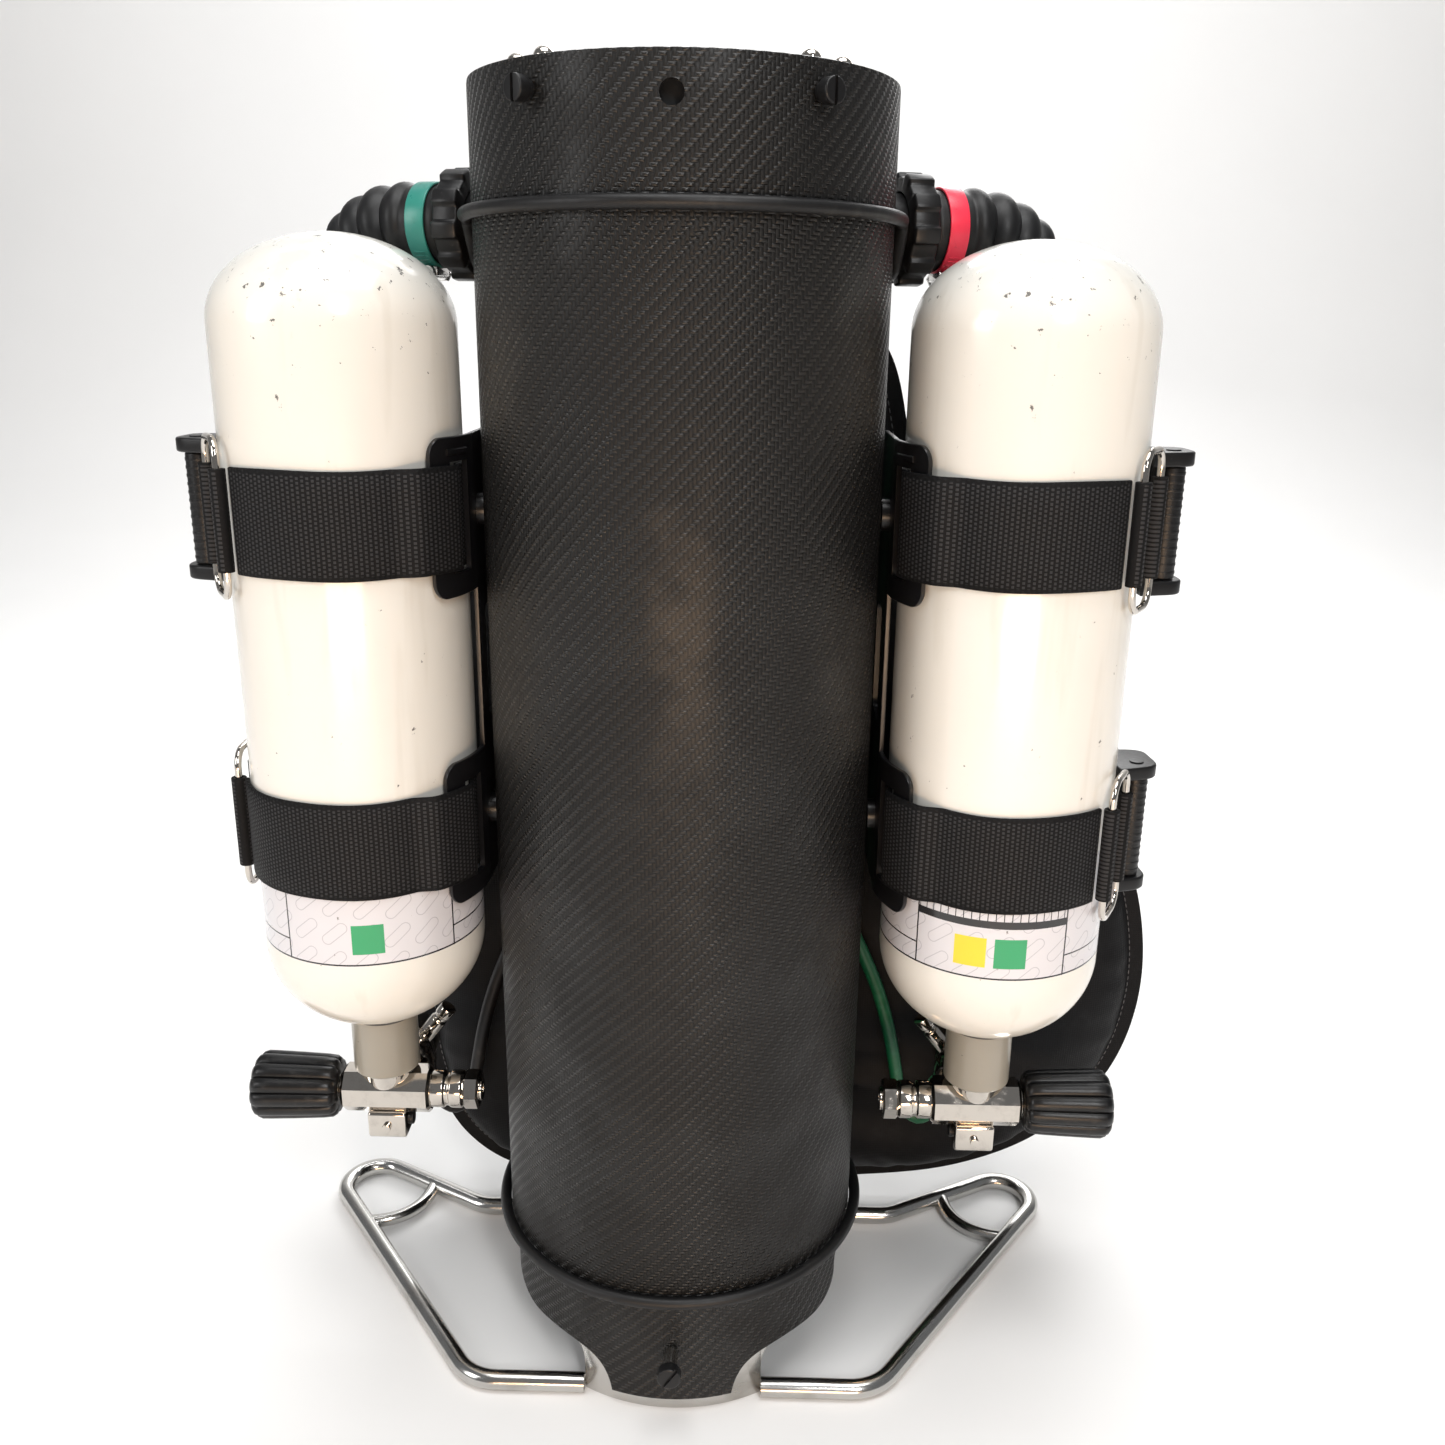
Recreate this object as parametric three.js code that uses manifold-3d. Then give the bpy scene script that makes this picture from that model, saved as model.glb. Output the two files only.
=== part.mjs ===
// A back-mounted closed-circuit breathing unit for divers, standing on its own foot frame.
// A carbon-fibre tube houses the breathing head, the absorbent canister and the counterlung. Two small
// steel gas cylinders hang upside down at its sides in webbing straps, a buoyancy wing and a backplate
// sit behind it, and two corrugated hoses run from the head to a mouthpiece.
// Millimetres. +Z is up, the side away from the diver faces -Y, and the floor is z = 0. Every piece is
// laid out round the tube's axis at x = 0, y = 0, and the whole is then moved so that the origin is at
// the centre of its footprint.

import * as THREE from 'three';
import { mergeVertices } from 'three/addons/utils/BufferGeometryUtils.js';
import Module from 'manifold-3d';

const wasm = await Module();
wasm.setup();

// ---- driving dimensions ----

const GAP = 0.3;                       // clearance between pieces that touch

const TUBE_RADIUS = 98;                // outside of the carbon tube
const TUBE_WALL = 3;
const TUBE_TOP = 657;
const TONGUE_FOOT = 9;                 // height of the lowest edge of the tube
const TONGUE_HALF = 37;                // half width of the front and rear tongues
const TONGUE_TAPER = 6;                 // each side, down to the foot
const TONGUE_FLARE = 20;               // bends of the foot's cut, at the tongue and at the window
const WINDOW_BEND = 14;
const TUBE_EDGE = 34.5;                // height of the cut edge beside the tongues
const WINDOW_ANGLE = 64;               // azimuth from the front where the side windows begin, degrees
const WINDOW_TOP = 69;
const FRONT_HOLE_RADIUS = 5;
const FRONT_HOLE_Z = TUBE_TOP - 16;

const CORD_RADIUS = 3.1;               // rubber cord round the tube
const UPPER_RING_Z = TUBE_TOP - 56;
const LOWER_RING_Z = 73.5;

const COLLAR_WALL = 2.2;               // steel collar inside the tube's foot
const COLLAR_TOP = 98;
const COLLAR_SHOW = 2;                 // how far the collar shows below the tube's cut edge
const FRONT_LEG_HALF = 47.5;
const REAR_LEG_HALF = 71.5;

const BAR_RADIUS = 5.25;               // foot frame bar
const BAR_WELD_OFFSET = 3.3;           // the front bar sits this far in front of the leg's wall
const BAR_CORNER_X = 110;
const BAR_REAR_BEND_X = 131;
const BAR_TIP = [276, 141];            // where the two straight runs of each loop would meet
const BAR_BENDS = [28, 20, 22];        // bend radii: front corner, tip, rear bend
const BRACE_RADIUS = 4;
const BRACE_FROM_TIP = 123.4;          // along both straight runs, from where they would meet
const BRACE_BOW = 12;                  // towards the tube

const BASE_SCREW_Z = 40.5;
const BASE_SPACER_RADIUS = 4;
const BASE_SPACER_LENGTH = 13;
const SCREW_HEAD_RADIUS = 6;
const SCREW_HEAD_LENGTH = 6;
const SCREW_SHANK_RADIUS = 2.5;
const TOP_SCREW_Z = TUBE_TOP - 13;
const TOP_SCREW_ANGLE = 36.8;          // azimuth from the front, degrees
const TOP_SCREW_HEAD_RADIUS = 5.3;
const TOP_SCREW_NECK_LENGTH = 3.2;

const HEAD_RADIUS = TUBE_RADIUS - 10;
const HEAD_BOTTOM = TUBE_TOP - 76.5;
const HEAD_TOP = TUBE_TOP - 4.5;
const PORT_Z = TUBE_TOP - 57;          // breathing-hose ports on the head
const PORT_ANGLE = 16;                 // from straight sideways towards the diver, degrees
const PORT_RADIUS = 16.5;
const PORT_END = TUBE_RADIUS + 23;     // distance of the port's end from the tube's axis
const PORT_SLOT_CLEARANCE = 1.3;
const DOME_NUT_ANGLES = [42, 57];      // azimuths from the front, degrees
const DOME_NUT_CIRCLE = HEAD_RADIUS - 6;
const DOME_NUT_FLATS = 11;

const NUT_START = TUBE_RADIUS + 8;     // union nut, as distances from the tube's axis
const NUT_END = NUT_START + 13.5;
const NUT_RADIUS = PORT_RADIUS + 10;
const NUT_LUGS = 10;
const CLAMP_START = PORT_END + 5.5;
const CLAMP_WIDTH = 10;
const CLAMP_SCREW_TURN = 1.5;          // half turns from the rear, so that the screw is below
const CLAMP_BAND = 1.3;

const HOSE_RADIUS = 20.5;              // corrugated hose over its ribs
const CUFF_RADIUS = 18.6;              // smooth end of the hose under its clamp
const CUFF_LENGTH = 18;
const MOUTHPIECE_AT = [0, TUBE_RADIUS + 60, PORT_Z - 248];
const BARREL_RADIUS = 23;
const BARREL_HALF = 45;
const MOUTH_PORT_TILT = 22;            // how far the side ports rise, degrees
const MOUTH_PORT_END = 57;
const MOUTH_TUBE_RADIUS = 15;
const MOUTH_TUBE_LENGTH = 44;
const LEVER_RING_X = 24;
const LEVER_RING_WIDTH = 9;
const LEVER_RING_WALL = 3.2;

const CYLINDER_RADIUS = 57.5;
const CYLINDER_WALL = 4;
const CYLINDER_GAP = 10;               // between the tube and each cylinder
const CYLINDER_Y = -10;
const CYLINDER_TOP = TUBE_TOP - 63;
const DOME_HEIGHT = 41;
const BOWL_HEIGHT = 50;                // rounded lower end
const BOWL_EDGE = 238;                 // where the straight wall meets the lower end
const NECK_RADIUS = 18;
const NECK_BORE = 12.5;
const NECK_BOTTOM = 154;

const VALVE_Z = 138;
const VALVE_HALF = 25;                 // half length of the valve's bar along X
const VALVE_FLATS = 25;                // across the bar
const OUTLET_RADIUS = 10.5;            // round boss on the inner side
const OUTLET_LENGTH = 18;
const PLUG_FLATS = 16;
const PLUG_LENGTH = 9;
const LOWER_BOSS = [22, 20, 15];
const SPINDLE_RADIUS = 4;
const SPINDLE_LENGTH = 12;
const HANDWHEEL_RADIUS = 19.2;
const HANDWHEEL_LENGTH = 50;
const HANDWHEEL_RIBS = 12;
const RIB_HEIGHT = 0.8;
const STAGE_START = 20;                // first stage, as distances behind the valve's axis
const STAGE_WHEEL_RADIUS = 19;
const STAGE_WHEEL_LENGTH = 12;
const STAGE_BODY_RADIUS = 16;
const STAGE_BODY_LENGTH = 32;
const UPPER_PORT_RADIUS = 5;
const UPPER_PORT_LENGTH = 36;
const UPPER_PORT_TILT = 38;
const LOWER_PORT_RADIUS = 5.5;
const LOWER_PORT_LENGTH = 19;

const GAS_HOSE_RADIUS = 4;
const GAS_HOSE_CLEARANCE = 3.27;       // between a gas hose and the tube it runs up beside
const GAS_HOSE_Y = 57;                 // in front of the wing
const GAS_HOSE_TURN_Z = TUBE_TOP - 145;
const GAS_HOSE_TURN_RADIUS = 24;
const GAS_HOSE_HOLE_CLEARANCE = 1.5;

const STRAP_WIDTH = 50;
const STRAP_THICKNESS = 2.2;
const STRAP_END = 42;                  // azimuths round the cylinder from its front, outwards, degrees
const STRAP_TAIL = -231;
const PLATE_THICKNESS = 2.5;           // bracket sheet
const EAR_HEIGHT = 76;
const EAR_START = -92;
const EAR_END = -54;
const EAR_CORNER = 8;
const SLOT_ANGLES = [-81, -66];
const SLOT_CLEARANCE = 1.5;
const SIDE_PLATE_REAR = 48;
const BOSS_RADIUS = 8;
const SIDE_WINDOW = 30;                // the side plate's long opening

const RING_ANGLE = 59;                 // wire ring between strap and buckle
const RING_DISTANCE = CYLINDER_RADIUS + 4.1;
const RING_HALF_WIDTH = 14;
const RING_HALF_HEIGHT = 37;
const RING_BEND = 9;
const WIRE_RADIUS = 1.8;
const BUCKLE_ANGLE = 91;
const BUCKLE_REACH = 23.5;             // how far the buckle stands off the cylinder
const BUCKLE_HALF_HEIGHT = 34.5;
const BUCKLE_CAP = 7;
const BUCKLE_FRONT = -15.5;            // the caps' edges across the buckle, and how their corners bend
const BUCKLE_REAR = 18.5;
const BUCKLE_BEND = 9;
const BUCKLE_BASE = [31, 2.6];
const LEVER_PIVOT = [-3, CYLINDER_RADIUS + 13];  // across the buckle, and out from the cylinder's axis
const LEVER_CAM_RADIUS = 6.5;
const LEVER_ARM = 21;
const LEVER_THICKNESS = 5;
const LEVER_TILT = 8;
// The lower left buckle sits further round towards the back than the other three.
const BUCKLE_TURNS = { upper_left: 0, upper_right: 0, lower_left: 27, lower_right: 3 };

const CANISTER_RADIUS = TUBE_RADIUS - 22;
const CANISTER_WALL = 2.5;
const CANISTER_BOTTOM = HEAD_BOTTOM - 250.5;
const CARTRIDGE_TOP = HEAD_BOTTOM - 40.5;
const COUNTERLUNG_RADIUS = TUBE_RADIUS - 12;
const COUNTERLUNG_BOTTOM = 112;
const SENSOR_RADIUS = 15;
const SOLENOID_RADIUS = 11;
const SENSOR_LENGTH = 34;
const CELL_OFFSET = 26;

const WING_CLEARANCE = 18.5;           // behind the gas cylinders
const BACKPLATE_GAP = 10;              // behind the tube
const BACKPLATE_THICKNESS = 3;
const BACKPLATE_BOTTOM = 150;
const BACKPLATE_TOP = TUBE_TOP - 152;
const BACKPLATE_HALF_BOTTOM = 122;
const BACKPLATE_HALF_TOP = 72;
const BACKPLATE_CORNER = 22;
const HARNESS_SLOT = [54, 9];
const BACKPLATE_WAIST = 110;           // height of the straight sides above the bottom edge
const BACKPLATE_HOLE_RADIUS = 5.5;

const CYLINDER_X = TUBE_RADIUS + CYLINDER_GAP + CYLINDER_RADIUS;
const WING_FRONT_Y = CYLINDER_Y + CYLINDER_RADIUS + WING_CLEARANCE;
const BACKPLATE_Y = TUBE_RADIUS + BACKPLATE_GAP;
const DOME_BASE = CYLINDER_TOP - DOME_HEIGHT;
const strapAt = (share) => BOWL_EDGE + share * (DOME_BASE - BOWL_EDGE);
const STRAP_HEIGHTS = { upper: strapAt(227 / 315), lower: strapAt(68 / 315) };
const STAGE_PORT = [-7.5, 56];         // lower port of the first stage, from the cylinder's axis
const SECTION_SIDES = 10;
const TUBE_FACETS = 60;
const CORD_FACETS = 50;

// ---- making and joining solids ----

const radians = THREE.MathUtils.degToRad;

// Merges shared vertices, drops slivers of no area, and turns the faces outward.
function welded(geometry) {
  const bare = geometry.index ? geometry.toNonIndexed() : geometry.clone();
  bare.deleteAttribute('normal');
  bare.deleteAttribute('uv');
  const merged = mergeVertices(bare, 1e-4);
  const corners = merged.index.array;
  const at = (i) => new THREE.Vector3().fromBufferAttribute(merged.attributes.position, i);
  const kept = [];
  let volume = 0;
  for (let i = 0; i < corners.length; i += 3) {
    const [a, b, c] = corners.slice(i, i + 3);
    if (a === b || b === c || c === a) continue;
    volume += at(a).dot(at(b).cross(at(c)));
    kept.push(a, b, c);
  }
  merged.setIndex(volume < 0 ? kept.reverse() : kept);
  return merged;
}

function solid(geometry) {
  const closed = welded(geometry);
  const vertProperties = new Float32Array(closed.attributes.position.array);
  const triVerts = new Uint32Array(closed.index.array);
  return new wasm.Manifold(new wasm.Mesh({ numProp: 3, vertProperties, triVerts }));
}

function geometryOf(body) {
  const { vertProperties, triVerts, numProp } = body.getMesh();
  const geometry = new THREE.BufferGeometry();
  const points = [];
  for (let i = 0; i < vertProperties.length; i += numProp) {
    points.push(vertProperties[i], vertProperties[i + 1], vertProperties[i + 2]);
  }
  geometry.setAttribute('position', new THREE.Float32BufferAttribute(points, 3));
  geometry.setIndex([...triVerts]);
  return geometry;
}

const joined = (...bodies) => bodies.reduce((whole, body) => whole.add(body));

// A turned body on the Z axis; profile points are [radius, height].
function turned(profile, segments = 32) {
  const points = profile.map(([radius, height]) => new THREE.Vector2(radius, height));
  points.push(points[0].clone());
  return new THREE.LatheGeometry(points, segments).rotateX(Math.PI / 2);
}

const disc = (radius, bottom, top, segments = 24) =>
  turned([[0, bottom], [radius, bottom], [radius, top], [0, top]], segments);

const hollowRing = (inner, outer, bottom, top, segments = 32) =>
  turned([[inner, bottom], [outer, bottom], [outer, top], [inner, top]], segments);

const box = (sizes, centre) => new THREE.BoxGeometry(...sizes).translate(...centre);

// A regular bar of the given number of sides, measured across its flats, along Z.
const prism = (flats, sides, bottom, top) =>
  disc(flats / 2 / Math.cos(Math.PI / sides), bottom, top, sides).rotateZ(Math.PI / sides);

function plate(shape, thickness) {
  return new THREE.ExtrudeGeometry(shape, { depth: thickness, bevelEnabled: false, curveSegments: 4 });
}

// An outline drawn in X and Z becomes a slab from y = start to y = end.
const slabAlongY = (shape, start, end) =>
  plate(shape, end - start).rotateX(Math.PI / 2).translate(0, end, 0);

const roundSection = (radius, sides) => new THREE.Shape(
  Array.from({ length: sides }, (_, i) => {
    const angle = 2 * Math.PI * (i + 0.5) / sides;
    return new THREE.Vector2(radius * Math.cos(angle), radius * Math.sin(angle));
  }),
);

// A path through stations that keeps every station where it is.
class StationPath extends THREE.Curve {
  constructor(stations) {
    super();
    this.stations = stations;
  }

  getPoint(t) {
    const place = Math.min(Math.max(t, 0), 1) * (this.stations.length - 1);
    const index = Math.min(Math.floor(place), this.stations.length - 2);
    return this.stations[index].clone().lerp(this.stations[index + 1], place - index);
  }

  getUtoTmapping(u) {
    return u;
  }
}

// Straight runs between corners, with a bend of the given radius at each inner corner.
function bentStations(corners, bends) {
  const stations = [corners[0].clone()];
  for (let i = 1; i < corners.length - 1; i += 1) {
    const back = corners[i - 1].clone().sub(corners[i]).normalize();
    const ahead = corners[i + 1].clone().sub(corners[i]).normalize();
    const half = back.angleTo(ahead) / 2;
    const centre = back.clone().add(ahead).normalize().multiplyScalar(bends[i - 1] / Math.sin(half))
      .add(corners[i]);
    const from = corners[i].clone().addScaledVector(back, bends[i - 1] / Math.tan(half)).sub(centre);
    const to = corners[i].clone().addScaledVector(ahead, bends[i - 1] / Math.tan(half)).sub(centre);
    const axis = from.clone().cross(to).normalize();
    const turn = from.angleTo(to);
    const steps = Math.max(2, Math.ceil(turn / radians(23)));
    for (let step = 0; step <= steps; step += 1) {
      stations.push(from.clone().applyAxisAngle(axis, turn * step / steps).add(centre));
    }
  }
  stations.push(corners.at(-1).clone());
  return stations;
}

const rodThrough = (stations, radius, sides = SECTION_SIDES) =>
  new THREE.ExtrudeGeometry(roundSection(radius, sides), {
    extrudePath: new StationPath(stations), steps: stations.length - 1, bevelEnabled: false,
  });

function mirrored(geometry) {
  return welded(geometry).scale(-1, 1, 1);
}

// A direction straight out of the tube, at an azimuth measured from the front towards +X.
const outward = (azimuth) => [Math.sin(radians(azimuth)), -Math.cos(radians(azimuth))];

// Lays a body made along +Z so that it points straight out of the tube's axis at an azimuth.
const radial = (geometry, azimuth, height) =>
  geometry.rotateX(Math.PI / 2).rotateZ(radians(azimuth)).translate(0, 0, height);

// ---- the assembly ----

const unit = new THREE.Group();

function addPiece(name, body, [color, roughness, metalness], place = [0, 0, 0]) {
  const geometry = welded(body instanceof wasm.Manifold ? geometryOf(body) : body);
  geometry.computeVertexNormals();
  const mesh = new THREE.Mesh(geometry, new THREE.MeshStandardMaterial({ color, roughness, metalness }));
  mesh.name = name;
  mesh.position.set(...place);
  unit.add(mesh);
  return mesh;
}

// Adds a piece made for the right side, and its mirror image on the left.
function addPair(name, body, finish, place = [0, 0, 0]) {
  const geometry = body instanceof wasm.Manifold ? geometryOf(body) : body;
  addPiece(`${name}_right`, geometry, finish, place);
  addPiece(`${name}_left`, mirrored(geometry), finish, [-place[0], place[1], place[2]]);
}

const CARBON = [0x1b1a19, 0.25, 0.1];
const RUBBER = [0x0d0d0e, 0.7, 0];
const STEEL = [0xb9b6b0, 0.25, 1];
const CHROME = [0xd6d3ce, 0.08, 1];
const BLACK_PLASTIC = [0x101011, 0.4, 0];
const BLACK_SHEET = [0x17181a, 0.45, 0.3];
const WHITE_PAINT = [0xe9e5dc, 0.3, 0];
const WEBBING = [0x0c0c0d, 0.85, 0];
const FABRIC = [0x0b0b0c, 0.9, 0];

// ---- gas hoses, which also cut their way through the tube ----

// Shares run from the straight part beside the tube (0) to the first stage's lower port (1).
const GAS_HOSE_RISE = [
  [1, 1, 118], [0.993, 0.82, 104], [0.928, 0.45, 90], [0.813, 0.09, 82], [0.698, -0.09, 87],
  [0.633, -0.09, 100], [0.59, -0.09, 116], [0.54, -0.09, 134], [0.468, -0.09, 154],
  [0.374, -0.09, 174], [0.266, -0.045, 192], [0.151, 0, 210], [0.058, 0, 230], [0.01, 0, 254],
  [0, 0, 280],
];

function gasHoseStations() {
  const reach = TUBE_RADIUS + GAS_HOSE_CLEARANCE + GAS_HOSE_RADIUS;
  const [runX, runY] = [Math.sqrt(reach ** 2 - GAS_HOSE_Y ** 2), GAS_HOSE_Y];
  const [portX, portY] = [CYLINDER_X + STAGE_PORT[0], CYLINDER_Y + STAGE_PORT[1]];
  const rise = new THREE.CatmullRomCurve3(GAS_HOSE_RISE.map(([across, back, height]) =>
    new THREE.Vector3(runX + across * (portX - runX), runY + back * (portY - runY), height)))
    .getPoints(21);
  const turn = [];
  for (let step = 0; step <= 6; step += 1) {
    const angle = Math.PI / 2 * step / 6;
    const distance = reach - GAS_HOSE_TURN_RADIUS * (1 - Math.cos(angle));
    turn.push(new THREE.Vector3(
      runX / reach * distance, runY / reach * distance,
      GAS_HOSE_TURN_Z + GAS_HOSE_TURN_RADIUS * Math.sin(angle),
    ));
  }
  return [...rise, ...turn];
}

const gasHoseLine = gasHoseStations();
const gasHose = rodThrough(gasHoseLine, GAS_HOSE_RADIUS, 8);
const gasHoseCutter = rodThrough(gasHoseLine, GAS_HOSE_RADIUS + GAS_HOSE_HOLE_CLEARANCE, 10);
addPiece('oxygen_hose', gasHose, [0x0d7a4b, 0.55, 0]);
addPiece('diluent_hose', mirrored(gasHose), RUBBER);

// ---- carbon tube ----

const portAzimuth = 90 + PORT_ANGLE;
const slotHalf = PORT_RADIUS + PORT_SLOT_CLEARANCE;

// The material that is cut away beside a tongue, drawn on the right as seen from the front.
function footCut(tongueHalf, taper, edge, windowHalf, windowTop) {
  const beyond = TUBE_RADIUS * 1.5;
  const shape = new THREE.Shape();
  shape.moveTo(tongueHalf - taper, -edge);
  shape.lineTo(tongueHalf - taper, edge / 3);
  shape.quadraticCurveTo(tongueHalf + 2, edge - taper, tongueHalf + TONGUE_FLARE, edge);
  shape.lineTo(windowHalf - WINDOW_BEND, edge);
  shape.quadraticCurveTo(windowHalf, edge + 1, windowHalf, edge + WINDOW_BEND + 2);
  shape.lineTo(windowHalf, windowTop);
  shape.lineTo(beyond, windowTop);
  shape.lineTo(beyond, -edge);
  return shape;
}

function tube() {
  const windowHalf = TUBE_RADIUS * Math.sin(radians(WINDOW_ANGLE));
  const cut = slabAlongY(footCut(TONGUE_HALF, TONGUE_TAPER, TUBE_EDGE, windowHalf, WINDOW_TOP),
    -TUBE_RADIUS - 5, TUBE_RADIUS + 5);
  const slotTop = TUBE_TOP + 10;
  const slot = joined(
    solid(radial(disc(slotHalf, TUBE_RADIUS - 30, TUBE_RADIUS + 20), portAzimuth, PORT_Z)),
    solid(box([2 * slotHalf, 50, slotTop - PORT_Z], [0, -TUBE_RADIUS - 5, (slotTop + PORT_Z) / 2])
      .rotateZ(radians(portAzimuth))),
  );
  const cutters = [
    solid(cut), solid(mirrored(cut)),
    slot, solid(mirrored(geometryOf(slot))),
    solid(gasHoseCutter), solid(mirrored(gasHoseCutter)),
    solid(radial(disc(FRONT_HOLE_RADIUS, TUBE_RADIUS - 20, TUBE_RADIUS + 20, 16), 0, FRONT_HOLE_Z)),
    solid(radial(disc(SCREW_SHANK_RADIUS + GAP, TUBE_RADIUS - 20, TUBE_RADIUS + 20, 10),
      0, BASE_SCREW_Z)),
  ];
  for (const azimuth of [-TOP_SCREW_ANGLE, TOP_SCREW_ANGLE]) {
    cutters.push(solid(radial(
      disc(SCREW_SHANK_RADIUS + GAP, TUBE_RADIUS - 20, TUBE_RADIUS + 20, 10), azimuth, TOP_SCREW_Z)));
  }
  const wall = solid(hollowRing(TUBE_RADIUS - TUBE_WALL, TUBE_RADIUS, TONGUE_FOOT, TUBE_TOP, TUBE_FACETS));
  return cutters.reduce((body, cutter) => body.subtract(cutter), wall);
}
addPiece('housing_tube', tube(), CARBON);

// ---- rubber cords round the tube ----

const cordCircle = TUBE_RADIUS + GAP + CORD_RADIUS;

// The upper cord is level in front and dips under the two hose ports.
function upperRing() {
  const geometry = new THREE.TorusGeometry(cordCircle, CORD_RADIUS, 6, CORD_FACETS);
  const points = geometry.attributes.position;
  const dip = PORT_RADIUS + CORD_RADIUS + 2 * PORT_SLOT_CLEARANCE;
  for (let i = 0; i < points.count; i += 1) {
    const azimuth = THREE.MathUtils.radToDeg(Math.atan2(Math.abs(points.getX(i)), -points.getY(i)));
    const share = THREE.MathUtils.smoothstep(20 - Math.abs(azimuth - portAzimuth), 0, 15);
    points.setZ(i, points.getZ(i) + UPPER_RING_Z - dip * share);
  }
  return geometry;
}
addPiece('upper_rubber_ring', upperRing(), RUBBER);
addPiece('lower_rubber_ring', new THREE.TorusGeometry(cordCircle, CORD_RADIUS, 6, CORD_FACETS), RUBBER,
  [0, 0, LOWER_RING_Z]);

// ---- foot frame: collar, bars and braces ----

const collarRadius = TUBE_RADIUS - TUBE_WALL - GAP;
const collarEdge = TUBE_EDGE - COLLAR_SHOW;

function collar() {
  const windowHalf = TUBE_RADIUS * Math.sin(radians(WINDOW_ANGLE)) - COLLAR_SHOW;
  const windowTop = WINDOW_TOP - COLLAR_SHOW;
  const front = slabAlongY(footCut(FRONT_LEG_HALF, 0, collarEdge, windowHalf, windowTop), -TUBE_RADIUS, 1);
  const rearShape = new THREE.Shape([
    [REAR_LEG_HALF, -10], [REAR_LEG_HALF, collarEdge], [windowHalf, collarEdge + 16],
    [windowHalf, windowTop], [TUBE_RADIUS * 1.5, windowTop], [TUBE_RADIUS * 1.5, -10],
  ].map((point) => new THREE.Vector2(...point)));
  const rear = slabAlongY(rearShape, 0, TUBE_RADIUS);
  const screwHole = radial(disc(SCREW_SHANK_RADIUS + GAP, TUBE_RADIUS - 20, TUBE_RADIUS, 10),
    0, BASE_SCREW_Z);
  const ring = solid(hollowRing(collarRadius - COLLAR_WALL, collarRadius, 0, COLLAR_TOP, TUBE_FACETS));
  return [front, mirrored(front), rear, mirrored(rear), screwHole]
    .reduce((body, cutter) => body.subtract(solid(cutter)), ring);
}
addPiece('stand_collar', collar(), STEEL);

const onFloor = ([x, y]) => new THREE.Vector3(x, y, BAR_RADIUS);
const legY = (half) => Math.sqrt((collarRadius - COLLAR_WALL / 2) ** 2 - half ** 2);
const barFrontY = -legY(FRONT_LEG_HALF) - BAR_WELD_OFFSET;
const barRearY = legY(REAR_LEG_HALF);
const barCorners = [
  [FRONT_LEG_HALF + GAP, barFrontY], [BAR_CORNER_X, barFrontY], BAR_TIP,
  [BAR_REAR_BEND_X, barRearY], [REAR_LEG_HALF + GAP, barRearY],
].map(onFloor);
const barLine = bentStations(barCorners, BAR_BENDS);
addPair('stand_bar', rodThrough(barLine, BAR_RADIUS), STEEL);

function braceStations() {
  const tip = barCorners[2];
  const [front, rear] = [barCorners[1], barCorners[3]].map((corner) =>
    tip.clone().addScaledVector(corner.clone().sub(tip).normalize(), BRACE_FROM_TIP));
  const middle = front.clone().lerp(rear, 0.5);
  const inward = middle.clone().sub(tip).normalize();
  const bowed = middle.addScaledVector(inward, 2 * BRACE_BOW);
  return new THREE.QuadraticBezierCurve3(front, bowed, rear).getPoints(6);
}
const braceLine = braceStations();
addPair('stand_brace',
  solid(rodThrough(braceLine, BRACE_RADIUS)).subtract(solid(rodThrough(barLine, BAR_RADIUS + GAP))),
  STEEL);

// ---- screws through the tube ----

const slotCut = (radius, top) => solid(box([1.6, 2 * radius + 1, 2.4], [0, 0, top]));

function baseScrew() {
  const headStart = TUBE_RADIUS + 2 * GAP + BASE_SPACER_LENGTH;
  const headEnd = headStart + SCREW_HEAD_LENGTH;
  const body = solid(turned([
    [0, TUBE_RADIUS - 12], [SCREW_SHANK_RADIUS, TUBE_RADIUS - 12], [SCREW_SHANK_RADIUS, headStart],
    [SCREW_HEAD_RADIUS, headStart], [SCREW_HEAD_RADIUS, headEnd - 1], [SCREW_HEAD_RADIUS - 1, headEnd],
    [0, headEnd],
  ], 16)).subtract(slotCut(SCREW_HEAD_RADIUS, headEnd));
  return radial(geometryOf(body), 0, BASE_SCREW_Z);
}
addPiece('base_screw', baseScrew(), BLACK_PLASTIC);
addPiece('base_spacer', radial(hollowRing(SCREW_SHANK_RADIUS + GAP, BASE_SPACER_RADIUS,
  TUBE_RADIUS + GAP, TUBE_RADIUS + GAP + BASE_SPACER_LENGTH, 16), 0, BASE_SCREW_Z), STEEL);

function topScrew() {
  const seat = TUBE_RADIUS + GAP;
  const headStart = seat + TOP_SCREW_NECK_LENGTH;
  const headEnd = headStart + SCREW_HEAD_LENGTH;
  const body = solid(turned([
    [0, HEAD_RADIUS + GAP], [SCREW_SHANK_RADIUS, HEAD_RADIUS + GAP], [SCREW_SHANK_RADIUS, seat],
    [TOP_SCREW_HEAD_RADIUS - 1.3, seat], [TOP_SCREW_HEAD_RADIUS - 1.3, headStart],
    [TOP_SCREW_HEAD_RADIUS, headStart], [TOP_SCREW_HEAD_RADIUS, headEnd - 1],
    [TOP_SCREW_HEAD_RADIUS - 1, headEnd], [0, headEnd],
  ], 16)).subtract(slotCut(TOP_SCREW_HEAD_RADIUS, headEnd));
  return radial(geometryOf(body), TOP_SCREW_ANGLE, TOP_SCREW_Z);
}
addPair('top_screw', topScrew(), BLACK_PLASTIC);

// ---- breathing head with its two ports ----

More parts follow.
